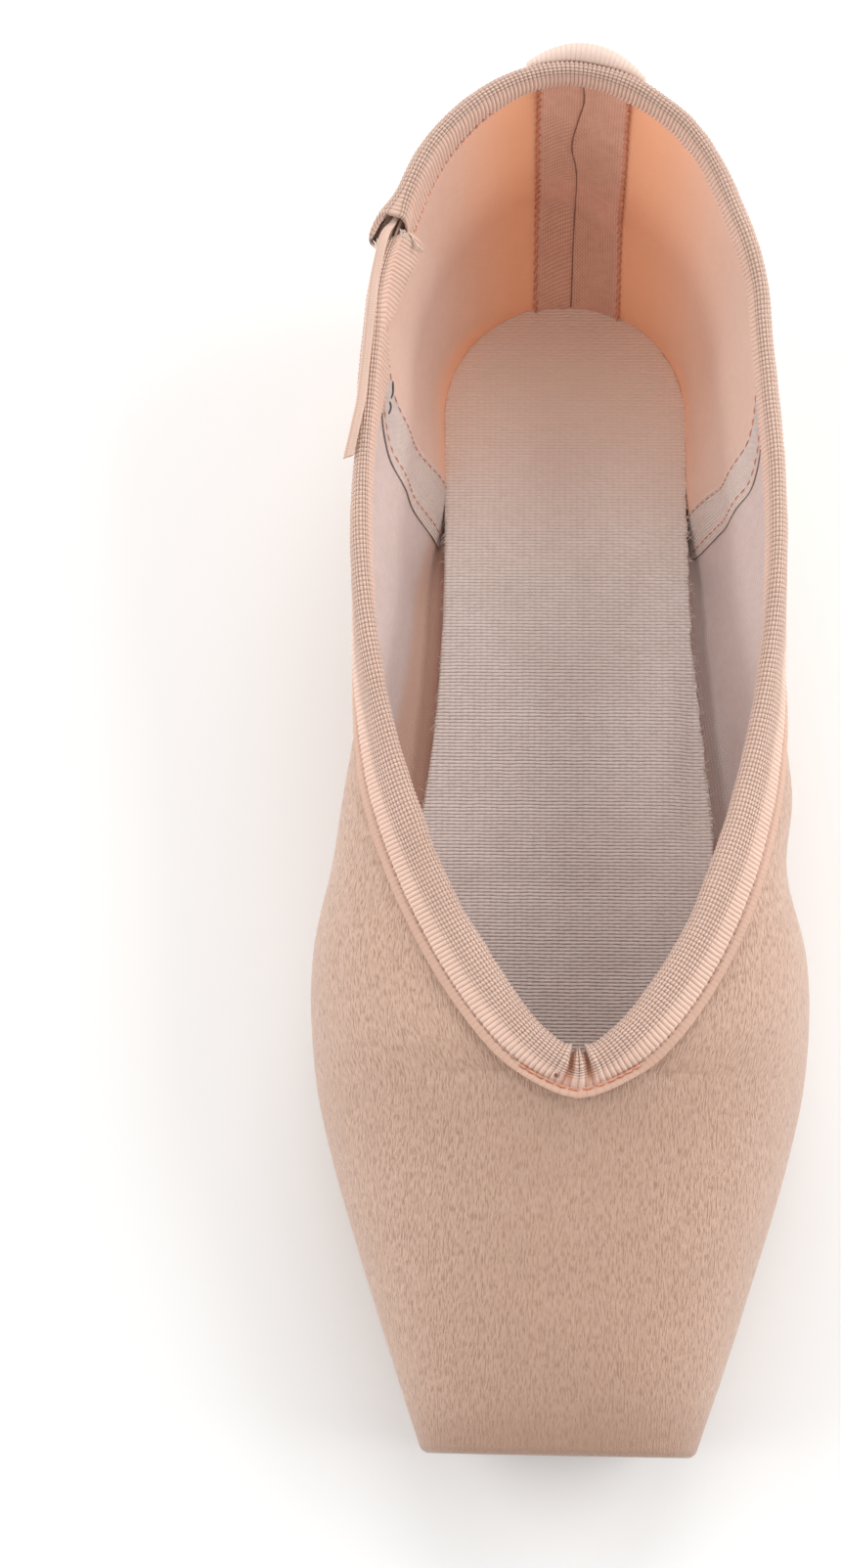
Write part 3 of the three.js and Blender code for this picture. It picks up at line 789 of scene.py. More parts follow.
class Topline:
    """The upper's rim, with places beside it measured along it, down the wall and out from the wall."""

    step = 1.2
    depths = np.linspace(0, 16, 33)

    def __init__(self) -> None:
        """Walks down the last's outside from many points of the rim."""
        even = np.linspace(LAST.throat, LAST.way_end, 260)
        way = np.unique(np.concatenate([self.crowded(LAST.throat), even]))
        q = np.concatenate([np.linspace(1, 2, 14)[:-1], np.linspace(2, 3, 40)])
        front = np.linspace(20, LAST.throat, 50)[:-1]
        points: list[Array] = []
        faces: list[tuple[int, ...]] = []
        for side in Side:
            grid = LAST.skin(np.concatenate([front, way]), q, side)
            rows, columns = grid.shape[:2]
            start = sum(len(p) for p in points)
            points.append(grid.reshape(-1, 3))
            i, j = np.meshgrid(np.arange(rows - 1), np.arange(columns - 1), indexing="ij")
            a = (start + i * columns + j).ravel()
            quad = np.stack([a, a + 1, a + columns + 1, a + columns], axis=1)
            faces += [tuple(f) for f in (quad if side is Side.LEFT else quad[:, ::-1])]
        self.tree = BVHTree.FromPolygons(np.concatenate(points).tolist(), faces)
        halves = {}
        for side in Side:
            line = LAST.skin(way[::-1], np.array([3.0]), side)[:, 0]
            run = run_along(line)
            halves[side] = (line, run)
        left, left_run = halves[Side.LEFT]
        right, right_run = halves[Side.RIGHT]
        line = np.concatenate([left[::-1], right[1:]])
        run = np.concatenate([-left_run[::-1], right_run[1:]])
        self.left_end, self.right_end = run[0], run[-1]
        self.length = run[-1] - run[0]
        self.s = np.linspace(run[0], run[-1], int(self.length / self.step))
        rim = pick(line, run, self.s)
        self.place, self.normal, self.down = self.walk(rim)

    @staticmethod
    def crowded(start: float) -> Array:
        """Ways that crowd together where the V opens."""
        return start + 14 * np.linspace(0, 1, 30) ** 2.4

    def walk(self, rim: Array) -> tuple[Array, Array, Array]:
        """Walks down the wall from each point of the rim.

        Args:
            rim: Points of the rim.

        Returns:
            Places and outward normals, a row for each point of the rim, and the way down at the rim.
        """
        count = len(rim)
        ends = np.concatenate([rim[-3:-1], rim, rim[1:3]])
        along = ends[4:] - ends[:-4]
        along /= np.linalg.norm(along, axis=1)[:, None]
        place = np.zeros((count, len(self.depths), 3))
        normal = np.zeros_like(place)
        downs = np.zeros((count, 3))
        for i in range(count):
            point = Vector(rim[i])
            out = self.outward(point)
            down = out.cross(Vector(along[i])).normalized()
            out = Vector(along[i]).cross(down).normalized()
            downs[i] = down
            for j in range(len(self.depths)):
                if j:
                    heading = (down - out * down.dot(out)).normalized()
                    step = self.depths[j] - self.depths[j - 1]
                    point = self.tree.find_nearest(point + heading * step)[0]
                    out = self.outward(point)
                place[i, j] = point
                normal[i, j] = out
        for _ in range(3):
            padded = np.concatenate([normal[-1:], normal, normal[:1]])
            normal = padded[:-2] + padded[1:-1] * 2 + padded[2:]
            normal /= np.linalg.norm(normal, axis=2)[..., None]
        return place, normal, downs

    def outward(self, point: Vector) -> Vector:
        """Finds which way is out of the shoe.

        Args:
            point: A place near the last's surface.

        Returns:
            The outward normal at the surface's nearest point.
        """
        _, normal, _, _ = self.tree.find_nearest(point)
        if normal.dot(point - Vector((0.0, min(point.y, LAST.pivot), 20.0))) < 0:
            normal = -normal
        return normal

    def at(self, s: Array, depth: Array, height: Array) -> Array:
        """Places beside the rim.

        Args:
            s: Length along the rim from the back seam, positive to the right; past the throat it goes on
                on the left.
            depth: Distance down the wall from the rim; less than 0 is above it.
            height: Distance out from the wall's outside.

        Returns:
            The places in millimetres.
        """
        s, depth, height = np.broadcast_arrays(*(np.asarray(v, float) for v in (s, depth, height)))
        s = np.where(s > self.right_end, s - self.length, s)
        s = np.where(s < self.left_end, s + self.length, s)
        i = np.clip((s - self.s[0]) / (self.s[1] - self.s[0]), 0, len(self.s) - 1.001)
        low = i.astype(int)
        fi = (i - low)[..., None]
        j = np.clip(depth / (self.depths[1] - self.depths[0]), 0, len(self.depths) - 1.001)
        lowj = j.astype(int)
        fj = (j - lowj)[..., None]

        def read(values: Array) -> Array:
            """Blends the values of the four nearest points.

            Args:
                values: One value for each point beside the rim.

            Returns:
                The values at the places.
            """
            near = values[low, lowj] * (1 - fj) + values[low, lowj + 1] * fj
            far = values[low + 1, lowj] * (1 - fj) + values[low + 1, lowj + 1] * fj
            return near * (1 - fi) + far * fi

        normal = read(self.normal)
        normal /= np.linalg.norm(normal, axis=-1)[..., None]
        down = self.down[low] * (1 - fi) + self.down[low + 1] * fi
        above = np.minimum(depth, 0)[..., None]
        return read(self.place) + down * above + normal * height[..., None]


# Finishes


class Sketch:
    """Adds nodes to a tree with short calls."""

    def __init__(self, tree: Tree) -> None:
        """Keeps the tree."""
        self.tree = tree

    def fill(self, node: Node, inputs: dict) -> None:
        """Sets a node's inputs, or joins sockets to them.

        Args:
            node: The node.
            inputs: Values or output sockets, by the input's name or number.
        """
        for name, value in inputs.items():
            if isinstance(value, Socket):
                self.tree.links.new(value, node.inputs[name])
            else:
                node.inputs[name].default_value = value

    def node(self, kind: str, inputs: dict | None = None, **settings: object) -> Node:
        """Adds a node.

        Args:
            kind: The node's type.
            inputs: Values or output sockets for its inputs, by name or number.
            **settings: Its other settings.

        Returns:
            The node.
        """
        made = self.tree.nodes.new(kind)
        for name, value in settings.items():
            setattr(made, name, value)
        self.fill(made, inputs or {})
        return made

    def math(self, operation: str, a: Part, b: Part = 0.0, c: Part = 0.0) -> Socket:
        """Adds a sum on values or sockets and gives its output."""
        return self.node("ShaderNodeMath", {0: a, 1: b, 2: c}, operation=operation).outputs[0]

    def plus(self, a: Part, b: Part) -> Socket:
        """Adds a plus b."""
        return self.math("ADD", a, b)

    def less(self, a: Part, b: Part) -> Socket:
        """Adds a minus b."""
        return self.math("SUBTRACT", a, b)

    def times(self, a: Part, b: Part) -> Socket:
        """Adds a times b."""
        return self.math("MULTIPLY", a, b)

    def times_plus(self, a: Part, b: Part, c: Part) -> Socket:
        """Adds a times b, plus c."""
        return self.math("MULTIPLY_ADD", a, b, c)

    def higher(self, a: Part, b: Part) -> Socket:
        """Adds the higher of a and b."""
        return self.math("MAXIMUM", a, b)

    def rest(self, a: Part) -> Socket:
        """Adds what is left of 1 without a."""
        return self.less(1.0, a)

    def size(self, a: Part) -> Socket:
        """Adds the size of a without its sign."""
        return self.math("ABSOLUTE", a)

    def ridges(self, turns: Part) -> Socket:
        """Adds round ridges, one for each whole turn."""
        return self.size(self.math("SINE", self.times(turns, math.pi)))

    def parts(self, vector: Socket) -> list[Socket]:
        """Splits a vector into its three parts."""
        return list(self.node("ShaderNodeSeparateXYZ", {0: vector}).outputs)

    def blend(self, factor: Part, a: Socket | Colour, b: Socket | Colour) -> Socket:
        """Blends from colour a to colour b."""
        a, b = (colour if isinstance(colour, Socket) else (*colour, 1.0) for colour in (a, b))
        return self.node("ShaderNodeMix", {0: factor, 6: a, 7: b}, data_type="RGBA").outputs[2]

    def ramp(self, value: Part, low: float, high: float) -> Socket:
        """Stretches the range between two values softly over 0 to 1."""
        node = self.node("ShaderNodeMapRange", {0: value, 1: low, 2: high}, interpolation_type="SMOOTHSTEP")
        return node.outputs[0]

    def noise(self, vector: Socket, scale: Part, detail: float = 3.0, rough: float = 0.55) -> Socket:
        """Adds a noise and gives its value."""
        inputs = {"Vector": vector, "Scale": scale, "Detail": detail, "Roughness": rough}
        return self.node("ShaderNodeTexNoise", inputs).outputs[0]

    def mapped(self, vector: Socket, scale: Triple, turn: float = 0.0) -> Socket:
        """Stretches a vector and turns it about Z."""
        inputs = {"Vector": vector, "Rotation": (0.0, 0.0, turn), "Scale": scale}
        return self.node("ShaderNodeMapping", inputs).outputs[0]


class Groups:
    """Shader node groups that several finishes share, each built once."""

    @staticmethod
    def start(name: str, values: dict[str, float], outputs: Sequence[str]) -> tuple[Sketch, Sequence[Socket]]:
        """Begins a group that reads a vector and some values.

        Args:
            name: The group's name.
            values: Its other inputs, with the values that they have where nothing is joined to them.
            outputs: Its outputs.

        Returns:
            The group's sketch, and the sockets that it reads.
        """
        tree = bpy.data.node_groups.new(name, "ShaderNodeTree")
        tree.interface.new_socket(name="Vector", in_out="INPUT", socket_type="NodeSocketVector")
        for label, value in values.items():
            socket = tree.interface.new_socket(name=label, in_out="INPUT", socket_type="NodeSocketFloat")
            socket.default_value = value
        for label in outputs:
            tree.interface.new_socket(name=label, in_out="OUTPUT", socket_type="NodeSocketFloat")
        sketch = Sketch(tree)
        return sketch, sketch.node("NodeGroupInput").outputs

    @staticmethod
    @cache
    def weave() -> Tree:
        """Plain weave, threads one way over threads the other way, by their pitches in millimetres.

        Returns:
            The group, with its height and the gaps between its threads.
        """
        values = {"Across": 0.6, "Along": 0.6, "Uneven": 0.5}
        sketch, read = Groups.start("Plain weave", values, ("Height", "Gaps"))
        push = sketch.times(sketch.less(sketch.noise(read["Vector"], 260.0, 2.0), 0.5), read["Uneven"])
        place = sketch.parts(read["Vector"])
        waves = []
        for part, pitch in zip(place, ("Across", "Along")):
            turns = sketch.math("DIVIDE", sketch.times(part, 1 / MM), read[pitch])
            waves.append(sketch.plus(turns, push))
        cells = [sketch.math("FLOOR", wave) for wave in waves]
        checker = sketch.math("MODULO", sketch.size(sketch.plus(*cells)), 2.0)
        one, other = (sketch.ridges(wave) for wave in waves)
        both = sketch.plus(sketch.times(checker, one), sketch.times(sketch.rest(checker), other))
        height = sketch.plus(sketch.times(both, 0.5), sketch.times(other, 0.5))
        gaps = sketch.times(sketch.rest(one), sketch.rest(other))
        sketch.node("NodeGroupOutput", {"Height": height, "Gaps": gaps})
        return sketch.tree

    @staticmethod
    @cache
    def wear() -> Tree:
        """Soft uneven soiling, with a few darker specks.

        Returns:
            The group, with masks for both.
        """
        sketch, read = Groups.start("Soiling", {"Size": 40.0}, ("Mask", "Specks"))
        mask = sketch.ramp(sketch.noise(read["Vector"], read["Size"], 4.0, 0.6), 0.42, 0.7)
        inputs = {"Vector": read["Vector"], "Scale": 95.0, "Randomness": 1.0}
        cells = sketch.node("ShaderNodeTexVoronoi", inputs)
        near = sketch.ramp(cells.outputs["Distance"], 0.045, 0.02)
        rare = sketch.ramp(sketch.noise(read["Vector"], 60.0, 0.0), 0.62, 0.66)
        sketch.node("NodeGroupOutput", {"Mask": mask, "Specks": sketch.times(near, rare)})
        return sketch.tree

    @staticmethod
    @cache
    def streaks() -> Tree:
        """Satin's floats, short streaks along the cloth.

        Returns:
            The group, with the streaks' height and shade.
        """
        sketch, read = Groups.start("Satin floats", {"Width": 0.6}, ("Height", "Shade"))
        rate = sketch.math("DIVIDE", 1 / MM, read["Width"])
        scale = sketch.node("ShaderNodeCombineXYZ", {0: sketch.times(rate, 0.2), 1: rate, 2: 1.0}).outputs[0]
        inputs = {0: read["Vector"], 1: scale}
        stretched = sketch.node("ShaderNodeVectorMath", inputs, operation="MULTIPLY").outputs[0]
        fine = sketch.noise(stretched, 1.0, 2.0, 0.6)
        broad = sketch.noise(sketch.mapped(stretched, (0.33, 0.45, 1.0)), 1.0, 2.0, 0.5)
        height = sketch.plus(sketch.times(fine, 0.78), sketch.times(broad, 0.22))
        shade = sketch.less(sketch.ramp(height, 0.36, 0.56), sketch.ramp(fine, 0.39, 0.31))
        sketch.node("NodeGroupOutput", {"Height": height, "Shade": shade})
        return sketch.tree


class Coat(Sketch):
    """A new material's nodes, with the places that its effects read."""

    def __init__(self, name: str) -> None:
        """Starts the material.

        Args:
            name: Its name.
        """
        self.material = bpy.data.materials.new(name)
        self.material.use_nodes = True
        super().__init__(self.material.node_tree)
        self.place = self.node("ShaderNodeTexCoord").outputs["Object"]

    @cached_property
    def flat(self) -> Socket:
        """The flat places that a piece keeps in its UV map."""
        return self.node("ShaderNodeUVMap", uv_map="cloth").outputs[0]

    def group(self, tree: Tree, vector: Socket, **values: float) -> Sequence[Socket]:
        """Adds a shared group that reads a vector, and gives its outputs."""
        return self.node("ShaderNodeGroup", {"Vector": vector, **values}, node_tree=tree).outputs

    def finish(self, relief: Socket, strength: float, depth: float, looks: dict) -> Material:
        """Gives the shader its relief and its looks.

        Args:
            relief: Height of the relief.
            strength: How much of the relief shows.
            depth: The relief's depth in metres.
            looks: Values or output sockets for the shader's inputs, by name.

        Returns:
            The material.
        """
        bump = self.node("ShaderNodeBump", {"Height": relief, "Strength": strength, "Distance": depth})
        self.fill(self.tree.nodes["Principled BSDF"], {"Normal": bump.outputs[0], **looks})
        return self.material


@dataclass(frozen=True)
class Cloth:
    """A woven finish, with its colours, weave and sheen, and where it is asked for, a painted glow and
    painted shade in a trough.
    """

    name: str
    light: Colour
    dark: Colour
    soil: Colour
    soiling: float = 0.25
    across: float = 0.55
    along: float = 0.55
    uneven: float = 0.5
    relief: float = 0.5
    roughness: float = 0.85
    sheen: float = 0.25
    # Painted light: the colour of a glow painted at the heel, as if light shone through the cloth, with its
    # reach across the shoe and its middle.
    glow: Colour | None = None
    glow_reach: float = 0.024
    glow_middle: float = 0.0035
    # Colour of the painted shade in the trough beside the insole.
    trough: Colour | None = None
    speck: Colour = (0.12, 0.08, 0.06)
    patched: bool = False

    def build(self) -> Material:
        """Makes the material.

        Returns:
            The material.
        """
        coat = Coat(self.name)
        pitches = {"Across": self.across, "Along": self.along, "Uneven": self.uneven}
        weave = coat.group(Groups.weave(), coat.flat, **pitches)
        soil = coat.group(Groups.wear(), coat.place)
        tone = coat.times_plus(weave["Height"], 0.75, coat.noise(coat.place, 700.0))
        colour = coat.blend(coat.ramp(tone, 0.45, 1.25), self.dark, self.light)
        colour = coat.blend(coat.times(soil["Mask"], self.soiling), colour, self.soil)
        x, y, z = coat.parts(coat.place)
        # Painted light: an orange glow laid over the colour near the middle behind, and low down all round
        # the heel.
        if self.glow:
            beside = coat.size(coat.less(x, self.glow_middle))
            warm = coat.ramp(beside, self.glow_reach, 0.35 * self.glow_reach)
            behind = coat.ramp(y, 0.03, 0.085)
            low = coat.times(coat.ramp(z, 0.0165, 0.0078), behind)
            colour = coat.blend(coat.higher(coat.times(warm, behind), low), colour, self.glow)
        # Painted shade: darker orange-brown low down on the left, in the trough between the insole and the
        # wall.
        if self.trough:
            deep = coat.times(coat.ramp(z, 0.0135, 0.0085), coat.ramp(x, 0.0, -0.01))
            colour = coat.blend(coat.times(deep, 0.85), colour, self.trough)
        colour = coat.blend(coat.times(soil["Specks"], 0.7), colour, self.speck)
        relief = weave["Height"]
        if self.patched:
            colour, relief = self.patches(coat, colour, relief)
        looks = {
            "Base Color": colour,
            "Roughness": coat.times_plus(weave["Gaps"], 0.1, self.roughness),
            "Sheen Weight": self.sheen,
            "Sheen Roughness": 0.5,
            "Specular IOR Level": 0.25,
        }
        return coat.finish(relief, self.relief, 0.00022, looks)

    def patches(self, coat: Coat, colour: Socket, relief: Socket) -> tuple[Socket, Socket]:
        """Adds four patches where coarser slanted threads show through.

        Args:
            coat: The material's nodes.
            colour: The cloth's colour.
            relief: The cloth's relief.

        Returns:
            The colour and the relief with the patches in them.
        """
        run, across, _ = coat.parts(coat.flat)
        ragged = coat.times_plus(coat.noise(coat.flat, 160.0), 0.006, run)
        lower = coat.ramp(ragged, 0.0305, 0.029)
        upper = coat.times(coat.ramp(ragged, 0.036, 0.0375), coat.ramp(ragged, 0.0505, 0.049))
        inside = coat.ramp(coat.size(across), 0.0078, 0.0068)
        left = coat.ramp(across, -0.0004, -0.0012)
        mask = coat.times(coat.higher(lower, upper), inside)
        halves = []
        for turn, half in ((0.62, left), (-0.5, coat.rest(left))):
            slanted = coat.parts(coat.mapped(coat.flat, (1500.0, 1500.0, 1.0), turn))[0]
            halves.append(coat.times(coat.ridges(slanted), half))
        threads = coat.plus(*halves)
        shade = coat.times(mask, coat.times_plus(threads, -0.7, 0.62))
        raised = coat.times_plus(coat.times(threads, mask), 0.9, relief)
        return coat.blend(shade, colour, self.soil), raised


@dataclass(frozen=True)
class Satin:
    """The upper's satin, with floats along the shoe, darker where it is rubbed and soiled, and with painted
    shade down its middle.
    """

    name: str = "Peach satin"
    light: Colour = (0.59, 0.385, 0.288)
    mid: Colour = (0.38, 0.218, 0.148)
    dark: Colour = (0.35, 0.2, 0.135)
    float_width: float = 0.26
    soil_size: float = 34.0

    def build(self) -> Material:
        """Makes the material.

        Returns:
            The material.
        """
        coat = Coat(self.name)
        floats = coat.group(Groups.streaks(), coat.flat, Width=self.float_width)
        soil = coat.group(Groups.wear(), coat.place, Size=self.soil_size)
        colour = coat.blend(floats["Shade"], self.mid, self.light)
        broad = coat.ramp(coat.noise(coat.place, 22.0, 4.0), 0.35, 0.75)
        colour = coat.blend(coat.times(broad, 0.22), colour, self.mid)
        x, y, z = coat.parts(coat.place)
        # Painted shade: the middle of the satin across the shoe is blended towards the mid colour, so that
        # its sides look more brightly lit.
        middle = coat.ramp(coat.size(x), 0.034, 0.004)
        colour = coat.blend(coat.times(middle, 0.3), colour, self.mid)
        rubbed = coat.times(coat.ramp(z, 0.014, 0.004), soil["Mask"])
        toe = coat.times(coat.ramp(y, -0.108, -0.1175), 0.55)
        worn = coat.higher(coat.times(rubbed, 0.75), toe)
        rough = coat.times_plus(floats["Shade"], -0.12, 0.56)
        looks = {
            "Base Color": coat.blend(worn, colour, self.dark),
            "Roughness": coat.times_plus(worn, 0.25, rough),
            "Sheen Weight": 0.45,
            "Sheen Roughness": 0.4,
            "Specular IOR Level": 0.55,
        }
        return coat.finish(floats["Height"], 1.0, 0.0004, looks)


@dataclass(frozen=True)
class Ribbed:
    """Grosgrain, with its ribs in the mesh and the threads that cross them in the material, which also paints
    shade in the rib valleys, between the beads and in the throat's creases.
    """

    name: str
    light: Colour
    dark: Colour
    bead: float = 0.54
    pitch: float = 0.8
    beaded: tuple[float, float] = (-5.6, 1.9)
    hem: float = -8.3
    relief: float = 1.0
    # Where the throat's pinched creases lie along the tape, and the colour of the painted shade in them.
    crease: float | None = None
    crease_colour: Colour = (0.50, 0.2, 0.11)

    def build(self) -> Material:
        """Makes the material.

        Returns:
            The material.
        """
        coat = Coat(self.name)
        run, across, _ = coat.parts(coat.flat)
        beads = coat.math("POWER", coat.ridges(coat.times(across, 1 / MM / self.bead)), 0.6)
        low, high = (edge * MM for edge in self.beaded)
        below = coat.ramp(across, low - 0.0009, low + 0.0009)
        near = coat.times(below, coat.ramp(across, high + 0.0006, high - 0.0006))
        off_hem = coat.ramp(across, self.hem * MM - 0.0003, self.hem * MM)
        # Painted shade: the valleys between the ribs and the gaps between the beads are darkened; the hem is
        # made darker as well.
        valleys = coat.ramp(coat.ridges(coat.times(run, 1 / MM / self.pitch)), 0.5, 0.05)
        threads = coat.noise(coat.mapped(coat.flat, (2400.0, 700.0, 1.0)), 1.0, 2.0)
        height = coat.plus(coat.times(beads, near), coat.times(threads, 0.35))
        gaps = coat.times(coat.times(coat.rest(beads), near), 0.6)
        shade = coat.higher(gaps, coat.times(valleys, coat.times_plus(off_hem, 0.4, 0.2)))
        shade = coat.times_plus(coat.rest(off_hem), 0.7, shade)
        colour = coat.blend(coat.less(coat.ramp(threads, -0.7, 0.6), shade), self.dark, self.light)
        soil = coat.group(Groups.wear(), coat.place)
        colour = coat.blend(coat.times(soil["Mask"], 0.2), colour, self.dark)
        # Painted shade: the pinched creases at the throat are darkened to an orange-brown.
        if self.crease is not None:
            beside = coat.size(coat.less(run, self.crease * MM))
            fold = coat.ramp(coat.size(coat.less(beside, 0.0014)), 0.0009, 0.0002)
            deep = coat.times(coat.ramp(across, -0.0086, -0.0056), fold)
            colour = coat.blend(coat.times(deep, 0.8), colour, self.crease_colour)
        looks = {
            "Base Color": colour,
            "Roughness": coat.times_plus(threads, 0.2, 0.55),
            "Sheen Weight": 0.25,
            "Specular IOR Level": 0.3,
        }
        return coat.finish(height, self.relief, 0.00026, looks)


@dataclass(frozen=True)
class Suede:
    """The outsole's split leather, scuffed where it treads."""

    name: str = "Split leather"
    light: Colour = (0.46, 0.32, 0.215)
    dark: Colour = (0.24, 0.155, 0.1)
    grime: Colour = (0.1, 0.075, 0.058)

    def build(self) -> Material:
        """Makes the material.

        Returns:
            The material.
        """
        coat = Coat(self.name)
        nap = coat.noise(coat.place, 900.0, 5.0, 0.7)
        broad = coat.noise(coat.place, 45.0, 4.0, 0.6)
        tone = coat.times_plus(nap, 0.6, coat.times(broad, 0.6))
        colour = coat.blend(coat.ramp(tone, 0.4, 0.8), self.dark, self.light)
        tread = coat.ramp(coat.parts(coat.place)[2], 0.0011, 0.0002)
        grime = coat.times(coat.times(tread, coat.group(Groups.wear(), coat.place)["Mask"]), 0.75)
        looks = {
            "Base Color": coat.blend(grime, colour, self.grime),
            "Roughness": coat.times_plus(nap, 0.15, 0.78),
            "Specular IOR Level": 0.2,
        }
        return coat.finish(nap, 0.5, 0.0004, looks)


@dataclass(frozen=True)
class Thread:
    """Sewing thread, made uneven by a fine noise."""

    name: str
    colour: Colour
    roughness: float = 0.6

    def build(self) -> Material:
        """Makes the material.

        Returns:
            The material.
        """
        coat = Coat(self.name)
        twist = coat.noise(coat.place, 2600.0, 2.0)
        dark = tuple(part * 0.6 for part in self.colour)
        colour = coat.blend(coat.ramp(twist, 0.3, 0.65), dark, self.colour)
        return coat.finish(twist, 0.4, 0.0001, {"Base Color": colour, "Roughness": self.roughness})


@dataclass(frozen=True)
class Palette:
    """Every finish on the shoe."""

    satin: Material
    casing: Material
    loop: Material
    quarter_lining: Material
    vamp_lining: Material
    strip: Material
    back_tape: Material
    sock: Material
    suede: Material
    elastic: Material
    casing_thread: Material
    peach_thread: Material
    orange_thread: Material
    seam_thread: Material
    pale_thread: Material
    dark_thread: Material
    fold_thread: Material

    @classmethod
    def mix(cls, throat: float) -> "Palette":
        """Builds the finishes.

        Args:
            throat: How far along the casing's tape its pinched creases lie, which get painted shade.

        Returns:
            The finishes.
        """
        finishes = {
            "satin": Satin(),
            "casing": Ribbed("Peach grosgrain", (0.745, 0.525, 0.432), (0.50, 0.3, 0.215), crease=throat),
            "loop": Ribbed("Ribbed tape", (0.84, 0.65, 0.56), (0.62, 0.43, 0.35), 1.1, beaded=(0.0, 0.05)),
            "quarter_lining": Cloth(
                "Peach cotton lining",
                (0.72, 0.51, 0.425),
                (0.67, 0.45, 0.36),
                (0.60, 0.36, 0.26),
                relief=0.2,
                # Painted light: an orange glow near the back tape.
                glow=(1.0, 0.50, 0.29),
                glow_reach=0.029,
            ),
            "vamp_lining": Cloth(
                "Cream cotton lining",
                (0.66, 0.53, 0.495),
                (0.56, 0.435, 0.40),
                (0.46, 0.335, 0.29),
                relief=0.4,
                # Painted shade in the trough on the left.
                trough=(0.60, 0.36, 0.27),
            ),
            "strip": Cloth(
                "White strip",
                (0.80, 0.67, 0.62),
                (0.68, 0.54, 0.49),
                (0.55, 0.41, 0.35),
                relief=0.9,
            ),
            "back_tape": Cloth(
                "Back seam tape",
                (0.86, 0.50, 0.375),
                (0.66, 0.35, 0.25),
                (0.52, 0.26, 0.175),
                across=0.5,
                along=0.5,
                relief=0.4,
                patched=True,
            ),
            "sock": Cloth(
                "Muslin sock",
                (0.86, 0.745, 0.70),
                (0.69, 0.575, 0.525),
                (0.62, 0.48, 0.41),
                soiling=0.3,
                across=1.1,
                along=0.62,
                relief=0.9,
                # Painted light: a warm glow over the heel.
                glow=(0.96, 0.73, 0.61),
                glow_reach=0.09,
            ),
            "suede": Suede(),
            "elastic": Ribbed(
                "Flat elastic",
                (0.72, 0.51, 0.42),
                (0.52, 0.33, 0.25),
                pitch=0.45,
                beaded=(0.0, 0.0),
                relief=0.4,
            ),
            "casing_thread": Thread("Casing thread", (0.58, 0.37, 0.28)),
            "peach_thread": Thread("Peach thread", (0.74, 0.52, 0.42)),
            "orange_thread": Thread("Orange thread", (0.80, 0.33, 0.20)),
            # A real knot thread, and the painted shadow in the back seam's groove.
            "seam_thread": Thread("Seam shadow", (0.34, 0.17, 0.12)),
            "pale_thread": Thread("Pale thread", (0.80, 0.68, 0.60)),
            "dark_thread": Thread("Dark thread", (0.09, 0.08, 0.09)),
            # Painted shadow along the strips' outer edges.
            "fold_thread": Thread("Folded edge", (0.42, 0.27, 0.22)),
        }
        return cls(**{use: finish.build() for use, finish in finishes.items()})


# The shoe's sub-assemblies


def along(start: float, end: float, step: float) -> Array:
    """Even places from start to end, about a step apart."""
    return np.linspace(start, end, max(2, int(round((end - start) / step)) + 1))


def body_ways(step: float, first: float) -> Array:
    """Ways for a skin's rows, crowded where the hole and the V begin.

    Args:
        step: Distance between rows elsewhere.
        first: The first way.

    Returns:
        The ways, rising.
    """
    hole = LAST.sole_tip + LAST.lasting_lap
    crowd = 13 * np.linspace(0, 1, 16)[1:] ** 2.2
    marks = [hole, LAST.throat]
    ways = np.concatenate([along(first, LAST.way_end, step), marks, hole + crowd, LAST.throat + crowd])
    ways = np.unique(np.round(ways, 4))
    keep = np.concatenate([[True], np.diff(ways) > 0.03])
    for marked in marks:
        keep[np.argmin(np.abs(ways - marked))] = True
    return ways[keep]


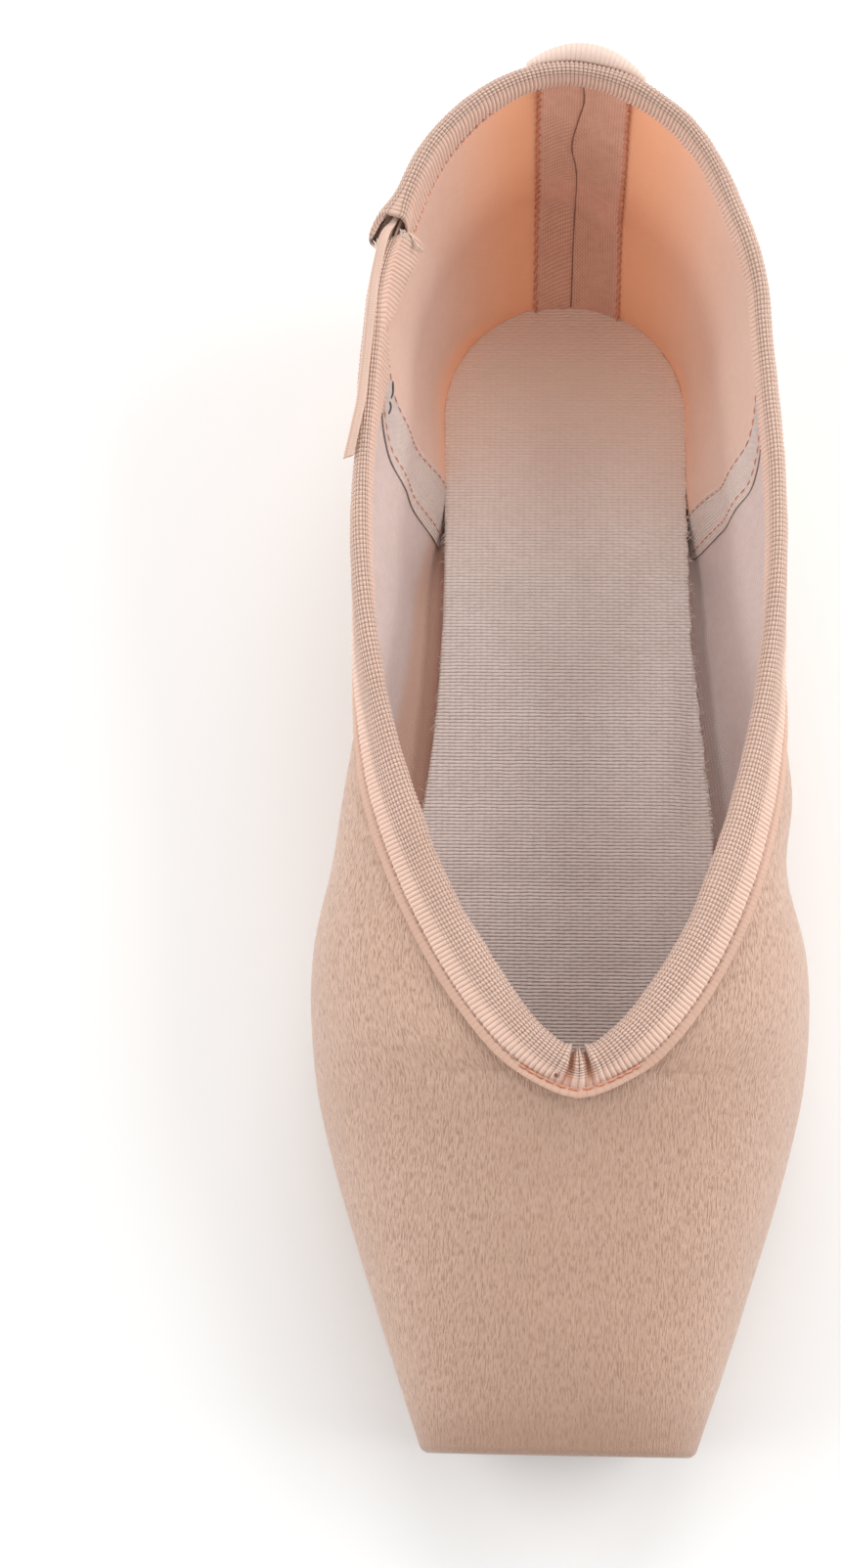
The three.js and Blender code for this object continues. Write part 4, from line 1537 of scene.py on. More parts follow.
@dataclass
class Upper:
    """The satin outside and the linings inside."""

    palette: Palette
    topline: Topline
    row_step: float = 1.25
    under_columns: int = 13
    lower_columns: int = 25
    upper_columns: int = 46
    edge_rows: int = 8
    satin_edge: float = 1.1
    pleat_height: float = 0.5
    pucker: float = 0.16
    satin_thickness: float = 0.7
    lining_thickness: float = 0.4
    lining_share: float = 0.7
    insole_gap: float = 0.15
    left_strip_half: float = 5.9
    right_strip_half: float = 4.2
    back_tape_half: float = 8.5
    back_tape_middle: float = 3.4

    def columns(self) -> Array:
        """Places round the section, shared by the satin and the linings."""
        return np.concatenate(
            [
                np.linspace(0, 1, self.under_columns)[:-1],
                np.linspace(1, 2, self.lower_columns)[:-1],
                np.linspace(2, 3, self.upper_columns),
            ]
        )

    def cloth_uv(self, points: Array, ways: Array, side: Side) -> Array:
        """Flat places for a skin, so that lines along the cloth run beside the girth.

        Args:
            points: Rows of places on the skin.
            ways: The way of each row.
            side: Which half.

        Returns:
            Distances along the shoe and across it, in millimetres.
        """
        gaps = np.linalg.norm(np.diff(points, axis=1), axis=2)
        up = np.concatenate([np.zeros((len(points), 1)), np.cumsum(gaps, axis=1)], axis=1)
        up -= up[:, [self.under_columns + self.lower_columns - 2]]
        whole = np.where(ways < LAST.throat, up[:, -1], up[np.searchsorted(ways, LAST.throat) - 1, -1])
        across = whole[:, None] - up
        return np.stack([np.broadcast_to(ways[:, None], across.shape), side.value * across], axis=-1)

    def relief(self, points: Array, ways: Array, q: Array, side: Side) -> Array:
        """How far the satin stands off the last in pleats, puckers, seams and soft unevenness.

        Args:
            points: Rows of places on the last.
            ways: The way of each row.
            q: Places round the section, one for each column.
            side: Which half.

        Returns:
            The distance at each place.
        """
        x, y, z = np.moveaxis(points, -1, 0)
        way = np.broadcast_to(ways[:, None], x.shape)
        around = np.broadcast_to(q[None, :], x.shape)
        height = 0.10 * noise(points, 3, 14.0) + 0.05 * noise(points, 9, 5.0)
        front = smooth(way, 70, 45)
        seat = smooth(way, LAST.pivot - 12, LAST.pivot + 6)
        pleats = np.abs(np.sin(way * 0.95 + 0.8 * noise(points, 21, 9.0)))
        fans = np.abs(np.sin(np.arctan2(x, way - 46) * 11 + 0.6 * noise(points, 22, 12.0)))
        behind = y - LAST.pivot
        out = np.abs(x) - LAST.sole_half(np.minimum(y, LAST.pivot))
        out = np.where(behind > 0, np.hypot(x, behind) - LAST.sole_widths[2] / 2, out)
        under = smooth(around, 0.15, 0.6) * smooth(around, 1.45, 0.95) * smooth(out, 0.2, 1.6)
        gathers = front * fans + seat * 0.5 * pleats + 0.35 * pleats * (1 - front)
        height += self.pleat_height * under * gathers
        near_rim = smooth(around, 2.5, 2.97) * smooth(way, LAST.throat + 6, LAST.throat + 30)
        height += self.pucker * near_rim * np.sin(way * 1.35 + 1.5 * noise(points, 31, 11.0))
        low = z < LAST.back_height - 4
        beside = way - self.seam_way(z, side)
        height += 0.16 * hump(np.abs(beside), 1.3, 0.7) * low
        seams = hump(way, LAST.way_end, 0.55) * low + hump(beside, 0.0, 0.5) * low
        height -= 0.32 * seams * smooth(around, 1.1, 1.3)
        return height * smooth(way, 2, 12)

    def skin(self, name: str, side: Side, inset: float, dressed: bool) -> Object:
        """Lays one half of a skin over the last.

        Args:
            name: The piece's name.
            side: Which half.
            inset: Share of the wall's thickness that it lies under the last's surface.
            dressed: Whether it takes the satin's pleats and puckers.

        Returns:
            The half skin.
        """
        q = self.columns()
        wall = float(LAST.wall(np.zeros(1))[0]) * inset
        edge = self.satin_edge if dressed else LAST.platform_edge
        toe = LAST.toe(q, side, self.edge_rows, wall, edge)
        first = max(edge, wall) + 0.6
        ways = body_ways(self.row_step, first)
        r, z, nr, nz = LAST.profile(ways, q, side)
        depth = LAST.wall(ways)[:, None] * inset + np.zeros_like(r)
        if dressed:
            depth = depth - self.relief(LAST.place(ways, r, z, side), ways, q, side)
        body = LAST.place(ways, r - nr * depth, z - nz * depth, side)
        body = self.ease_throat(body, ways, q)
        if not dressed:
            body = self.hug(body, self.insole_gap)
        face_ways = np.linspace(-22, -4, self.under_columns - 1)
        toe_ways = np.concatenate([face_ways, np.linspace(-4, 3, self.edge_rows + 1)])
        points = np.concatenate([toe, body])
        uv = self.cloth_uv(points, np.concatenate([toe_ways, ways]), side)
        return Bench.cloth(name, points, uv, flip=side is Side.RIGHT)

    @staticmethod
    def ease_throat(body: Array, ways: Array, q: Array) -> Array:
        """Softens the crease that the opening's tip would leave across the vamp.

        Args:
            body: Rows of places on a skin.
            ways: The way of each row.
            q: Places round the section, one for each column.

        Returns:
            The places, softened.
        """
        apart = ways[:, None] - ways[None, :]
        share = np.exp(-((apart / 4.0) ** 2)) * np.gradient(ways)[None, :]
        share /= share.sum(axis=1)[:, None]
        soft = np.einsum("ij,jkl->ikl", share, body)
        near = smooth(np.abs(ways - LAST.throat), 16, 5)[:, None] * smooth(q, 2.9, 2.6)[None, :]
        near = near * smooth(q, 1.2, 1.9)[None, :]
        eased = body.copy()
        eased[..., 0] += near * (soft - body)[..., 0]
        eased[..., 2] += near * (soft - body)[..., 2]
        return eased

    @staticmethod
    def hug(points: Array, clear: float, straight: bool = False) -> Array:
        """Draws the foot of the lining in to the insole's edge, from the waist to the heel.

        Args:
            points: Places on the lining.
            clear: Distance that it keeps from the insole.
            straight: Whether places move only along the shoe.

        Returns:
            The places, drawn in.
        """
        x, y, z = np.moveaxis(points, -1, 0)
        ahead = np.minimum(y, LAST.pivot)
        middle = LAST.lines["sway"](ahead) + LAST.insole_shift
        out = np.stack([x - middle, np.maximum(y - LAST.pivot, 0)], axis=-1)
        reach = np.linalg.norm(out, axis=-1)
        limit = LAST.lines["insole"](ahead) + clear
        pull = smooth(z, 25.0, 6.5) * smooth(z, 3.0, 4.6) * smooth(y, 148, 174)
        drawn = np.where(reach > limit, limit + (reach - limit) * (1 - pull), reach)
        if straight:
            behind = np.sqrt(np.maximum(drawn**2 - out[..., 0] ** 2, 1.0))
            return np.stack([x, LAST.pivot + behind, z], axis=-1)
        out = out * (drawn / np.maximum(reach, 0.01))[..., None]
        behind = np.where(y > LAST.pivot, LAST.pivot + out[..., 1], y)
        return np.stack([middle + out[..., 0], behind, z], axis=-1)

    @staticmethod
    def inward(points: Array, rise: Array | float) -> Array:
        """Moves a laid sheet off the lining, into the shoe.

        Args:
            points: Rows of places.
            rise: How far to move each.

        Returns:
            The places, moved.
        """
        normal = np.cross(np.gradient(points, axis=0), np.gradient(points, axis=1))
        normal /= np.maximum(np.linalg.norm(normal, axis=-1), 1e-9)[..., None]
        middle = spread(np.array(0.0), np.minimum(points[..., 1], LAST.pivot), np.array(45.0))
        sign = np.sign(np.sum(normal * (middle - points), axis=-1).mean())
        return points + sign * normal * (np.zeros(points.shape[:2]) + rise)[..., None]

    def satin(self) -> None:
        """The satin with its own thickness, which stands for the CAD upper."""
        halves = [self.skin(f"satin_{side.name.lower()}", side, 0.0, True) for side in Side]
        piece = Bench.join("satin_upper", halves)
        Bench.outward(piece)
        Bench.thicken(piece, self.satin_thickness)
        Bench.shade(piece, 60)
        Bench.finish(piece, "satin", self.palette.satin)
        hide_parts("upper")

    @staticmethod
    def seam_way(height: Array, side: Side) -> Array:
        """Where the vamp and quarter linings meet.

        Args:
            height: Heights above the floor.
            side: Which side of the shoe.

        Returns:
            The way at each height.
        """
        if side is Side.LEFT:
            return Line((5, 11, 22, 34, 38, 43), (167.6, 168.3, 169.7, 172.5, 177, 183))(height)
        return Line((5, 17, 30, 36, 40, 44), (163.7, 163.8, 163.3, 165.6, 169, 173.5))(height)

    def lining(self) -> None:
        """The linings as one skin with a finish for the vamp and one for the quarters."""
        halves = [self.skin(f"lining_{side.name.lower()}", side, self.lining_share, False) for side in Side]
        piece = Bench.join("lining", halves)
        Bench.outward(piece)
        Bench.thicken(piece, self.lining_thickness)
        Bench.shade(piece, 60)
        Bench.finish(piece, "satin", self.palette.vamp_lining, self.palette.quarter_lining)
        mesh = piece.data
        centres = np.empty(len(mesh.polygons) * 3)
        mesh.polygons.foreach_get("center", centres)
        centres = (centres.reshape(-1, 3) - np.array(Bench.offset)) / MM
        seam = [self.seam_way(centres[:, 2], side) for side in Side]
        seam = np.where(centres[:, 0] < 0, seam[0], seam[1])
        mesh.polygons.foreach_set("material_index", (centres[:, 1] > seam).astype(np.int32))
        mesh.update()

    def band(self, name: str, side: Side, half: float) -> None:
        """A strip sewn over the lining seam, with two rows of stitches in it and a painted shadow line along
        its outer edge.

        Args:
            name: The piece's name.
            side: Which side of the shoe.
            half: Half the strip's width.
        """
        q = np.linspace(1.2, 2.96, 70)
        across = np.linspace(-half, half, 13)
        ways = np.full(len(q), 165.0)
        for _ in range(4):
            z = np.diag(LAST.profile(ways, q, side)[1])
            ways = self.seam_way(z, side)
        rows = [LAST.trace(ways + offset, q, side, self.lining_share) for offset in across]
        crown = 0.1 * (1 - (across[:, None] / half) ** 4)
        crown = crown + 0.12 * noise(spread(q * 14, across[:, None]), 71, 3.0)
        points = self.inward(self.hug(np.array(rows), self.insole_gap), 0.5 + crown)
        run = run_along(points[6])
        uv = spread(run[None, :], across[:, None])
        piece = Bench.cloth(name, points, uv, flip=side is Side.LEFT)
        Bench.thicken(piece, 0.12, 0.0)
        Bench.outward(piece)
        Bench.shade(piece, 60)
        Bench.finish(piece, "satin", self.palette.strip)
        self.rows_of_stitches(f"{name}_stitches", [points[2], points[11]], side)
        # Painted shadow: a dark thread along the strip's outer edge stands for the shadow there.
        edge = points[0] + np.array([0.0, -0.1, 0.05])
        Bench.sew(f"{name}_edge", [edge], Gauge.FOLD, "satin", self.palette.fold_thread, ends=1.0)

    def rows_of_stitches(self, name: str, lines: Sequence[Array], side: Side) -> None:
        """Sews orange stitches along lines on the lining.

        Args:
            name: The piece's name.
            lines: The lines.
            side: Which side of the shoe they are on.
        """
        inward = np.array([-side.value * 0.14, 0.0, 0.1])
        paths = []
        for line in lines:
            run = run_along(line)
            for s in stitches_in(0.5, run[-1] - 1.6, 2.1, 1.5):
                path = pick(line, run, s) + inward
                path[[0, -1]] -= inward * 0.8
                paths.append(path)
        Bench.sew(name, paths, Gauge.FINE, "satin", self.palette.orange_thread)

    @staticmethod
    def seam_bow(q: Array) -> Array:
        """How the back seam wanders from the tape's middle."""
        knots = (1.0, 1.3, 1.75, 2.28, 2.42, 2.75, 2.9, 3.0)
        return Line(knots, (-1.2, -1.2, -1.05, -0.9, -1.7, -0.7, 0.2, -0.1))(q)

    def back_tape(self) -> None:
        """The tape over the back seam inside, with a wavy seam down its middle, a painted shadow line in its
        groove and corded edges.
        """
        half = self.back_tape_half
        q = np.linspace(1.02, 2.995, 110)
        across = np.linspace(-half, half, 57)
        points = np.zeros((len(across), len(q), 3))
        rise = np.zeros((len(across), len(q)))
        for i, offset in enumerate(across):
            x = self.back_tape_middle + offset + 0.0 * q
            reach = LAST.profile(np.array([LAST.way_end]), q, Side.RIGHT)[0][0]
            for _ in range(3):
                side = Side.RIGHT if x[0] >= 0 else Side.LEFT
                turn = np.arccos(np.clip(np.abs(x) / np.maximum(reach, 1), 0, 1))
                ways = LAST.pivot + turn / (math.pi / 2) * LAST.fan
                r, z, nr, nz = (np.diag(m) for m in LAST.profile(ways, q, side))
                reach = r
            bow = self.seam_bow(q)
            groove = 0.3 * hump(offset, bow, 0.4) - 0.2 * hump(offset, bow - 1.1, 0.7)
            puff = 0.12 * noise(spread(q * 12, np.array(offset)), 5, 3.0)
            puff += (0.5 * hump(q, 2.6, 0.09) + 0.35 * hump(q, 2.2, 0.08)) * hump(offset, 3.8, 2.6)
            inset = LAST.wall(ways) * self.lining_share
            rise[i] = 0.66 + puff - groove + 0.15 * (1 - (offset / half) ** 6)
            out = r - nr * inset
            x, y = side.value * out * np.cos(turn), LAST.pivot + out * np.sin(turn)
            points[i] = np.stack([x, y, z - nz * inset], axis=-1)
        points = self.inward(self.hug(points, self.insole_gap, straight=True), rise)
        run = run_along(points[28])
        uv = spread(run[None, :] + across[:, None] * 0.35, across[:, None])
        piece = Bench.cloth("back_seam_tape", points, uv)
        Bench.thicken(piece, 0.15, 0.0)
        Bench.outward(piece)
        Bench.shade(piece, 60)
        Bench.finish(piece, "satin", self.palette.back_tape)
        paths = []
        for line in (points[1], points[-2]):
            for s in stitches_in(0.3, run[-1] - 1.9, 1.75, 1.7, 5):
                path = pick(line, run, s)
                path[:, 0] += np.linspace(-0.35, 0.35, 5)
                path[:, 1] -= 0.35 - 0.2 * np.linspace(-1, 1, 5) ** 2
                paths.append(path)
        # Painted shadow: a dark thread down the seam's groove stands for the shade in it.
        bows = self.seam_bow(q)
        dark = np.array([pick(points[:, i], across, np.array([bow]))[0] for i, bow in enumerate(bows)])
        dark += np.array([0.0, -0.06, 0.03])
        Bench.sew("back_seam", [dark], Gauge.SEAM, "satin", self.palette.seam_thread, ends=1.0)
        Bench.sew("back_tape_stitches", paths, Gauge.CORD, "satin", self.palette.orange_thread)

    def tacks(self) -> None:
        """The two dark stitches at the top of the left strip."""
        marks = (
            ((-70.2, 6.4, -3.2), (-71.2, 6.2, -3.4), (-72.2, 6.7, -3.3), (-73.2, 6.3, -3.2)),
            ((-73.8, 6.0, -3.1), (-74.8, 6.3, -3.3), (-76.0, 6.0, -3.1)),
        )
        paths = []
        for mark in marks:
            route = spline(np.array(mark), np.linspace(0, len(mark) - 1, 9))
            paths.append(self.topline.at(route[:, 0], route[:, 1], route[:, 2]))
        Bench.sew("strip_tacks", paths, Gauge.TACK, "satin", self.palette.dark_thread, 0.6, 2)

    def build(self) -> None:
        """Makes every piece of the upper."""
        self.satin()
        self.lining()
        self.band("strip_left", Side.LEFT, self.left_strip_half)
        self.band("strip_right", Side.RIGHT, self.right_strip_half)
        self.back_tape()
        self.tacks()


@dataclass(frozen=True)
class Outline:
    """The U-shaped section of the casing, point by point round it, outside first."""

    outer: Array
    inner: Array
    fold: Array
    height: Array
    round_: Array
    face: Array
    outside: Array


@dataclass
class Casing:
    """The grosgrain casing round the collar, its stitches and its broken end."""

    palette: Palette
    topline: Topline
    pitch: float = 0.8
    rib: float = 0.26
    tape: float = 0.7
    tunnel: float = 2.2
    clearance: float = 0.3
    outer_leg: float = 6.0
    flange: float = 1.5
    break_at: float = -44.45
    gap: float = 2.3
    tuck_spread: float = 1.4
    throat_narrowing: float = 0.26
    throat_half: float = 8.0
    inside_seam_end: float = -15.0
    loose_threads: int = 44
    inner_leg: Line = field(
        default_factory=lambda: Line(
            (-150, -140, -125, -108, -84, -80, -76, -72, -66.5, -64, -62.5)
            + (-61, -58, -52, -43, -26, -10, 20, 110, 130, 145),
            (3.4, 2.8, 1.0, 0.5, 0.6, 1.3, 3.6, 4.9, 4.9, 3.2, 1.3)
            + (3.2, 4.7, 4.9, 5.2, 4.2, 1.3, 1.0, 0.6, 1.0, 3.0),
        )
    )

    def leg_at(self, s: Array) -> Array:
        """How far the tape's inner leg comes down inside, along the rim."""
        return self.inner_leg(np.where(s > self.topline.right_end, s - self.topline.length, s))

    def outer_leg_at(self, s: Array) -> Array:
        """How far its outer leg comes down outside, less at the throat."""
        return self.outer_leg * (1 - self.throat_narrowing * hump(s, self.topline.right_end, 7.5))

    def section(self) -> Outline:
        """Lays out the section, with points close together where the groove is.

        Returns:
            The section.
        """
        groove = 1 - self.flange / self.outer_leg
        reach = self.clearance + self.tape
        wall = LAST.cloth_wall
        near_groove = groove + np.array([0.08, 0.045, 0.02, 0.0, -0.02, -0.045, -0.09])
        leg_out = np.concatenate([[1, 0.95, 0.89], near_groove, [0.48, 0.3, 0.14]])
        leg_in = np.linspace(0, 1, 8)[1:]
        turn = np.linspace(0, math.pi, 13)
        zero_out, zero_turn, zero_in = 0 * leg_out, 0 * turn, 0 * leg_in
        outer = np.concatenate([leg_out, zero_turn, zero_in])
        inner = np.concatenate([zero_out, zero_turn, leg_in])
        fold = np.concatenate([zero_out, -(self.tunnel + self.tape) * np.sin(turn), zero_in])
        over = -wall / 2 + (wall / 2 + reach) * np.cos(turn)
        height = np.concatenate([zero_out + reach, over, zero_in - wall - reach])
        steps = np.hypot(np.diff(outer * self.outer_leg + inner * 3.4 + fold), np.diff(height))
        round_ = np.concatenate([[0], np.cumsum(steps)])
        round_ -= round_[len(leg_out) + len(turn) // 2]
        faces = len(round_)
        leg = np.linspace(1, 0, 4)[:-1]
        turn = np.linspace(math.pi, 0, 7)
        zero_leg, zero_turn = 0 * leg, 0 * turn
        back = -wall / 2 + (wall / 2 + self.clearance) * np.cos(turn)
        outer = np.concatenate([outer, zero_leg, zero_turn, leg[::-1]])
        inner = np.concatenate([inner, leg, zero_turn, zero_leg])
        fold = np.concatenate([fold, zero_leg, -self.tunnel * np.sin(turn), zero_leg])
        height = np.concatenate([height, zero_leg - wall - self.clearance, back, zero_leg + self.clearance])
        round_ = np.concatenate([round_, np.linspace(round_[-1], round_[0], len(height) - faces)])
        index = np.arange(len(height))
        face, outside = index < faces, index < len(leg_out) + len(turn) - 1
        return Outline(*(part[None, :] for part in (outer, inner, fold, height, round_, face, outside)))

    def tape_mesh(self) -> None:
        """The ribbed tape, tucked at the throat, slack and torn at its break."""
        line = self.section()
        start = self.break_at + self.gap / 2
        end = self.break_at - self.gap / 2 + self.topline.length
        count = int(round((end - start) / self.pitch))
        pitch = (end - start) / count
        s = np.linspace(start, end, count * 4 + 1)[:, None]
        phase = (s - start) / pitch
        outer_leg = self.outer_leg_at(s)
        depth = line.outer * outer_leg + line.inner * self.leg_at(s) + line.fold
        grid = spread(s, line.round_)
        ridge = self.rib * (np.abs(np.sin(phase * math.pi)) ** 0.7 - 0.5)
        wobble = 0.12 * noise(grid, 4, 6.5) + 0.04 * noise(grid, 14, 2.4)
        groove = hump(depth, outer_leg - self.flange, 0.2) * line.outside
        hem = smooth(depth, outer_leg - self.flange, outer_leg - self.flange + 0.3) * line.outside
        lift = line.face * (ridge * (1 - 0.85 * hem) + wobble - 0.55 * groove - 0.1 * hem)
        lift += self.tucks(s - self.topline.right_end, depth, outer_leg, line.outside) * line.face
        away = np.where(line.height >= -LAST.cloth_wall / 2, 1.0, -1.0)
        over = np.clip(-line.fold / (self.tunnel + self.tape), 0, 1)
        flat = line.height + away * lift * np.sqrt(1 - over**2 * 0.98)
        on_line = np.stack([s, 0 * s], -1)
        sag = 0.3 * noise(on_line, 41, 17.0) + 0.16 * noise(on_line, 42, 6.0)
        mouth, worn = s - start, s - end
        flare = 2.3 * hump(mouth, 0, 3.2) * smooth(depth, 13.0, 1.5)
        press = (0.42 * hump(worn, -9, 8) + 0.4 * hump(worn, -39, 7)) * line.face
        flat += (away > 0) * (flare - press) * (0.4 + 0.6 * (1 - over))
        hanging = 2.3 * hump(worn, -3, 9) * smooth(depth, 0.0, 4.5)
        flat -= (away < 0) * (hanging + 0.6 * hump(mouth, 0, 2.5) * smooth(depth, 3.0, 0.0))
        outwards = smooth(-line.round_, 1.2, 5.0)
        inwards = smooth(line.round_, 1.2, 4.5)
        tear = -(4.2 * outwards + 1.4 * inwards) * np.exp(-mouth / 4.0)
        tear -= (3.4 * outwards + 1.9 * hump(line.round_, 0, 2.0)) * np.exp(worn / 4.0)
        level = 1.6 * inwards * smooth(worn, -20.0, -9.0)
        bow = 0.22 * np.sin(np.clip(line.round_ / 7.0, -1, 1) * math.pi)
        drop = over * (0.9 * hump(worn, 0, 3.2) - 0.5 * hump(mouth, 0, 2.5))
        rings = self.topline.at(s + bow + tear + level, depth - over * (lift + sag) + drop, flat)
        uv = spread(phase * self.pitch, line.round_)
        piece = Bench.ring("casing_tape", rings, uv)
        Bench.shade(piece, 75)
        Bench.finish(piece, "casing_grosgrain", self.palette.casing)
        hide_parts("collar_casing")

    def tucks(self, beside: Array, depth: Array, outer_leg: Array, outside: Array) -> Array:
        """Rise of the tape where it is pinched at the throat.

        Args:
            beside: Distance along the rim from the throat.
            depth: Distance down the wall from the rim.
            outer_leg: Length of the outer leg there.
            outside: Whether a place is on the tape's outer leg.

        Returns:
            The rise at each place.
        """
        slit = self.tuck_spread * (1 - 0.12 * np.clip(depth, -2, 5))
        rise = 0 * beside * depth
        for side, long in ((-1, 3.4), (1, 2.6)):
            rise = rise - 1.2 * hump(beside, side * slit, 0.4) * smooth(depth, long, -1.0)
            rise = rise + 0.45 * hump(beside, side * (slit + 1.1), 0.6) * smooth(depth, 3.0, 0.0)
        rise = rise + 0.45 * hump(beside, 0.0, 0.7) * smooth(depth, 4.4, 1.0)
        rise = rise - 0.3 * hump(beside, 0.1, 0.25) * smooth(depth, 1.2, -0.5)
        below = depth - (outer_leg - 0.9)
        lip = 0.75 * smooth(below, 0.0, 0.5) - 0.35 * hump(below, -0.3, 0.3)
        return rise + lip * hump(beside, 0.0, 9.0) * outside

    def stitches(self) -> None:
        """The dashes in the flange's groove outside, and the orange stitches where the inner leg shows."""
        start = self.break_at + self.gap / 2 + 0.8
        end = self.break_at - self.gap / 2 + self.topline.length - 2.0
        reach = self.clearance + self.tape
        outside, inside, throat = [], [], []
        arch = np.array([-1.0, 1.0, 1.0, -1.0])
        for run in stitches_in(start, end, 1.75, 1.2):
            if abs(run[0] - self.topline.right_end) > self.throat_half:
                depth = self.outer_leg_at(run) - self.flange
                outside.append(self.topline.at(run, depth, reach - 0.38 + 0.12 * arch))
            if run[0] < self.inside_seam_end:
                high = -LAST.cloth_wall - reach - 0.14 * arch - 0.05
                inside.append(self.topline.at(run, self.leg_at(run) - 0.75, high))
        for beside in stitches_in(-self.throat_half, 7.6, 1.3, 1.1):
            run = self.topline.right_end + beside
            throat.append(self.topline.at(run, self.outer_leg_at(run) - 1.15, reach - 0.2 + 0.1 * arch))
        turn = np.linspace(0, 4 * math.pi, 20)
        round_knot = self.topline.right_end + 2.6 + 0.22 * np.cos(turn)
        knot = self.topline.at(round_knot, 2.2 + 0.22 * np.sin(turn), reach + 0.2 + 0.03 * turn / math.pi)
        for name, paths, gauge, material in (
            ("casing_knot", [knot], Gauge.LOOSE, self.palette.seam_thread),
            ("casing_stitches", outside, Gauge.FINE, self.palette.casing_thread),
            ("casing_inside_stitches", inside, Gauge.STOUT, self.palette.orange_thread),
            ("casing_throat_stitches", throat, Gauge.TACK, self.palette.orange_thread),
        ):
            Bench.sew(name, paths, gauge, "casing_grosgrain", material)

    def fray(self) -> None:
        """Loose threads where the casing has come apart."""
        rng = np.random.default_rng(7)
        paths = []
        inner = -LAST.cloth_wall - self.clearance - self.tape
        end = self.break_at - self.gap / 2
        t = np.linspace(0, 1, 6)
        for _ in range(self.loose_threads):
            inside = rng.random() < 0.8
            depth = rng.uniform(-1.0, 6.0) if inside else rng.uniform(-1.5, 2.5)
            base = inner + 0.25 if inside else 0.8
            reach = rng.uniform(0.6, 2.2)
            s = end - (0.5 if inside else 3.6) + reach * t
            d = depth + rng.uniform(-0.9, 0.9) * t**2
            h = base + (-1 if inside else 1) * rng.uniform(0.0, 0.9) * t**1.5 + 0.15 * np.sin(t * 9 + depth)
            paths.append(self.topline.at(s, d, h))
        hanging = np.array(
            [
                (-46.4, -1.2, -1.6),
                (-45.2, 0.0, -2.6),
                (-44.2, 1.2, -3.1),
                (-45.0, 2.2, -4.0),
                (-46.0, 2.2, -5.2),
                (-46.2, 2.0, -6.3),
            ]
        )
        for slip in (0.0, 0.35):
            route = spline(hanging, np.linspace(0, len(hanging) - 1, 26))
            paths.append(self.topline.at(route[:, 0] - slip, route[:, 1] + slip, route[:, 2] + 0.5 * slip))
        Bench.sew("casing_fray", paths, Gauge.LOOSE, "casing_grosgrain", self.palette.pale_thread, 0.4)

    def build(self) -> None:
        """Makes the casing's pieces."""
        self.tape_mesh()
        self.stitches()
        self.fray()


@dataclass
class Drawstring:
    """The free end of the elastic drawstring."""

    palette: Palette
    topline: Topline
    width: float = 1.65
    thickness: float = 1.0
    route: tuple[Triple, ...] = (
        (-39.6, -1.0, -0.8),
        (-42.4, -1.2, -0.8),
        (-44.4, -1.7, -0.7),
        (-46.2, -2.8, -0.6),
        (-48.3, -3.5, -0.75),
        (-51.0, -3.6, -0.95),
        (-55.6, -3.55, -1.0),
        (-60.0, -3.55, -0.9),
        (-65.0, -3.55, -0.8),
        (-70.0, -3.55, -0.7),
        (-76.5, -3.5, -0.45),
        (-81.0, -3.3, 0.2),
        (-86.5, -2.5, 1.3),
    )

    def build(self) -> None:
        s, depth, height = (np.array(column) for column in zip(*self.route))
        knots = self.topline.at(s, depth, height)
        fine = np.linspace(0, len(knots) - 1, 90)
        path = spline(knots, fine)
        out = spline(self.topline.at(s, depth, height + 1.0), fine) - path
        tangent = np.gradient(path, axis=0)
        tangent /= np.linalg.norm(tangent, axis=1)[:, None]
        out -= tangent * np.sum(out * tangent, axis=1)[:, None]
        out /= np.linalg.norm(out, axis=1)[:, None]
        up = np.cross(tangent, out)
        turn = np.linspace(0, 2 * math.pi, 33)[:-1]
        run = run_along(path)
        flat = np.abs(np.cos(turn)) ** 0.7 * np.sign(np.cos(turn)) * self.width / 2
        thick = np.sin(turn) * self.thickness / 2 * (1 - 0.45 * hump(np.cos(turn), 0.25, 0.22))
        narrow = (1 - 0.4 * smooth(run, 9.0, 3.5))[:, None, None]
        section = out[:, None] * flat[None, :, None] + up[:, None] * thick[None, :, None]
        rings = path[:, None] + narrow * section
        slant = smooth(run, run[-1] - 1.6, run[-1])[:, None] * flat[None, :] * 0.6
        rings += tangent[:, None] * slant[..., None]
        uv = spread(run[:, None], flat[None, :])
        piece = Bench.ring("drawstring", rings, uv)
        Bench.shade(piece, 60)
        Bench.finish(piece, "drawstring_elastic", self.palette.elastic)
        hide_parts("drawstring_end")
        laid = Bench.lay(path)


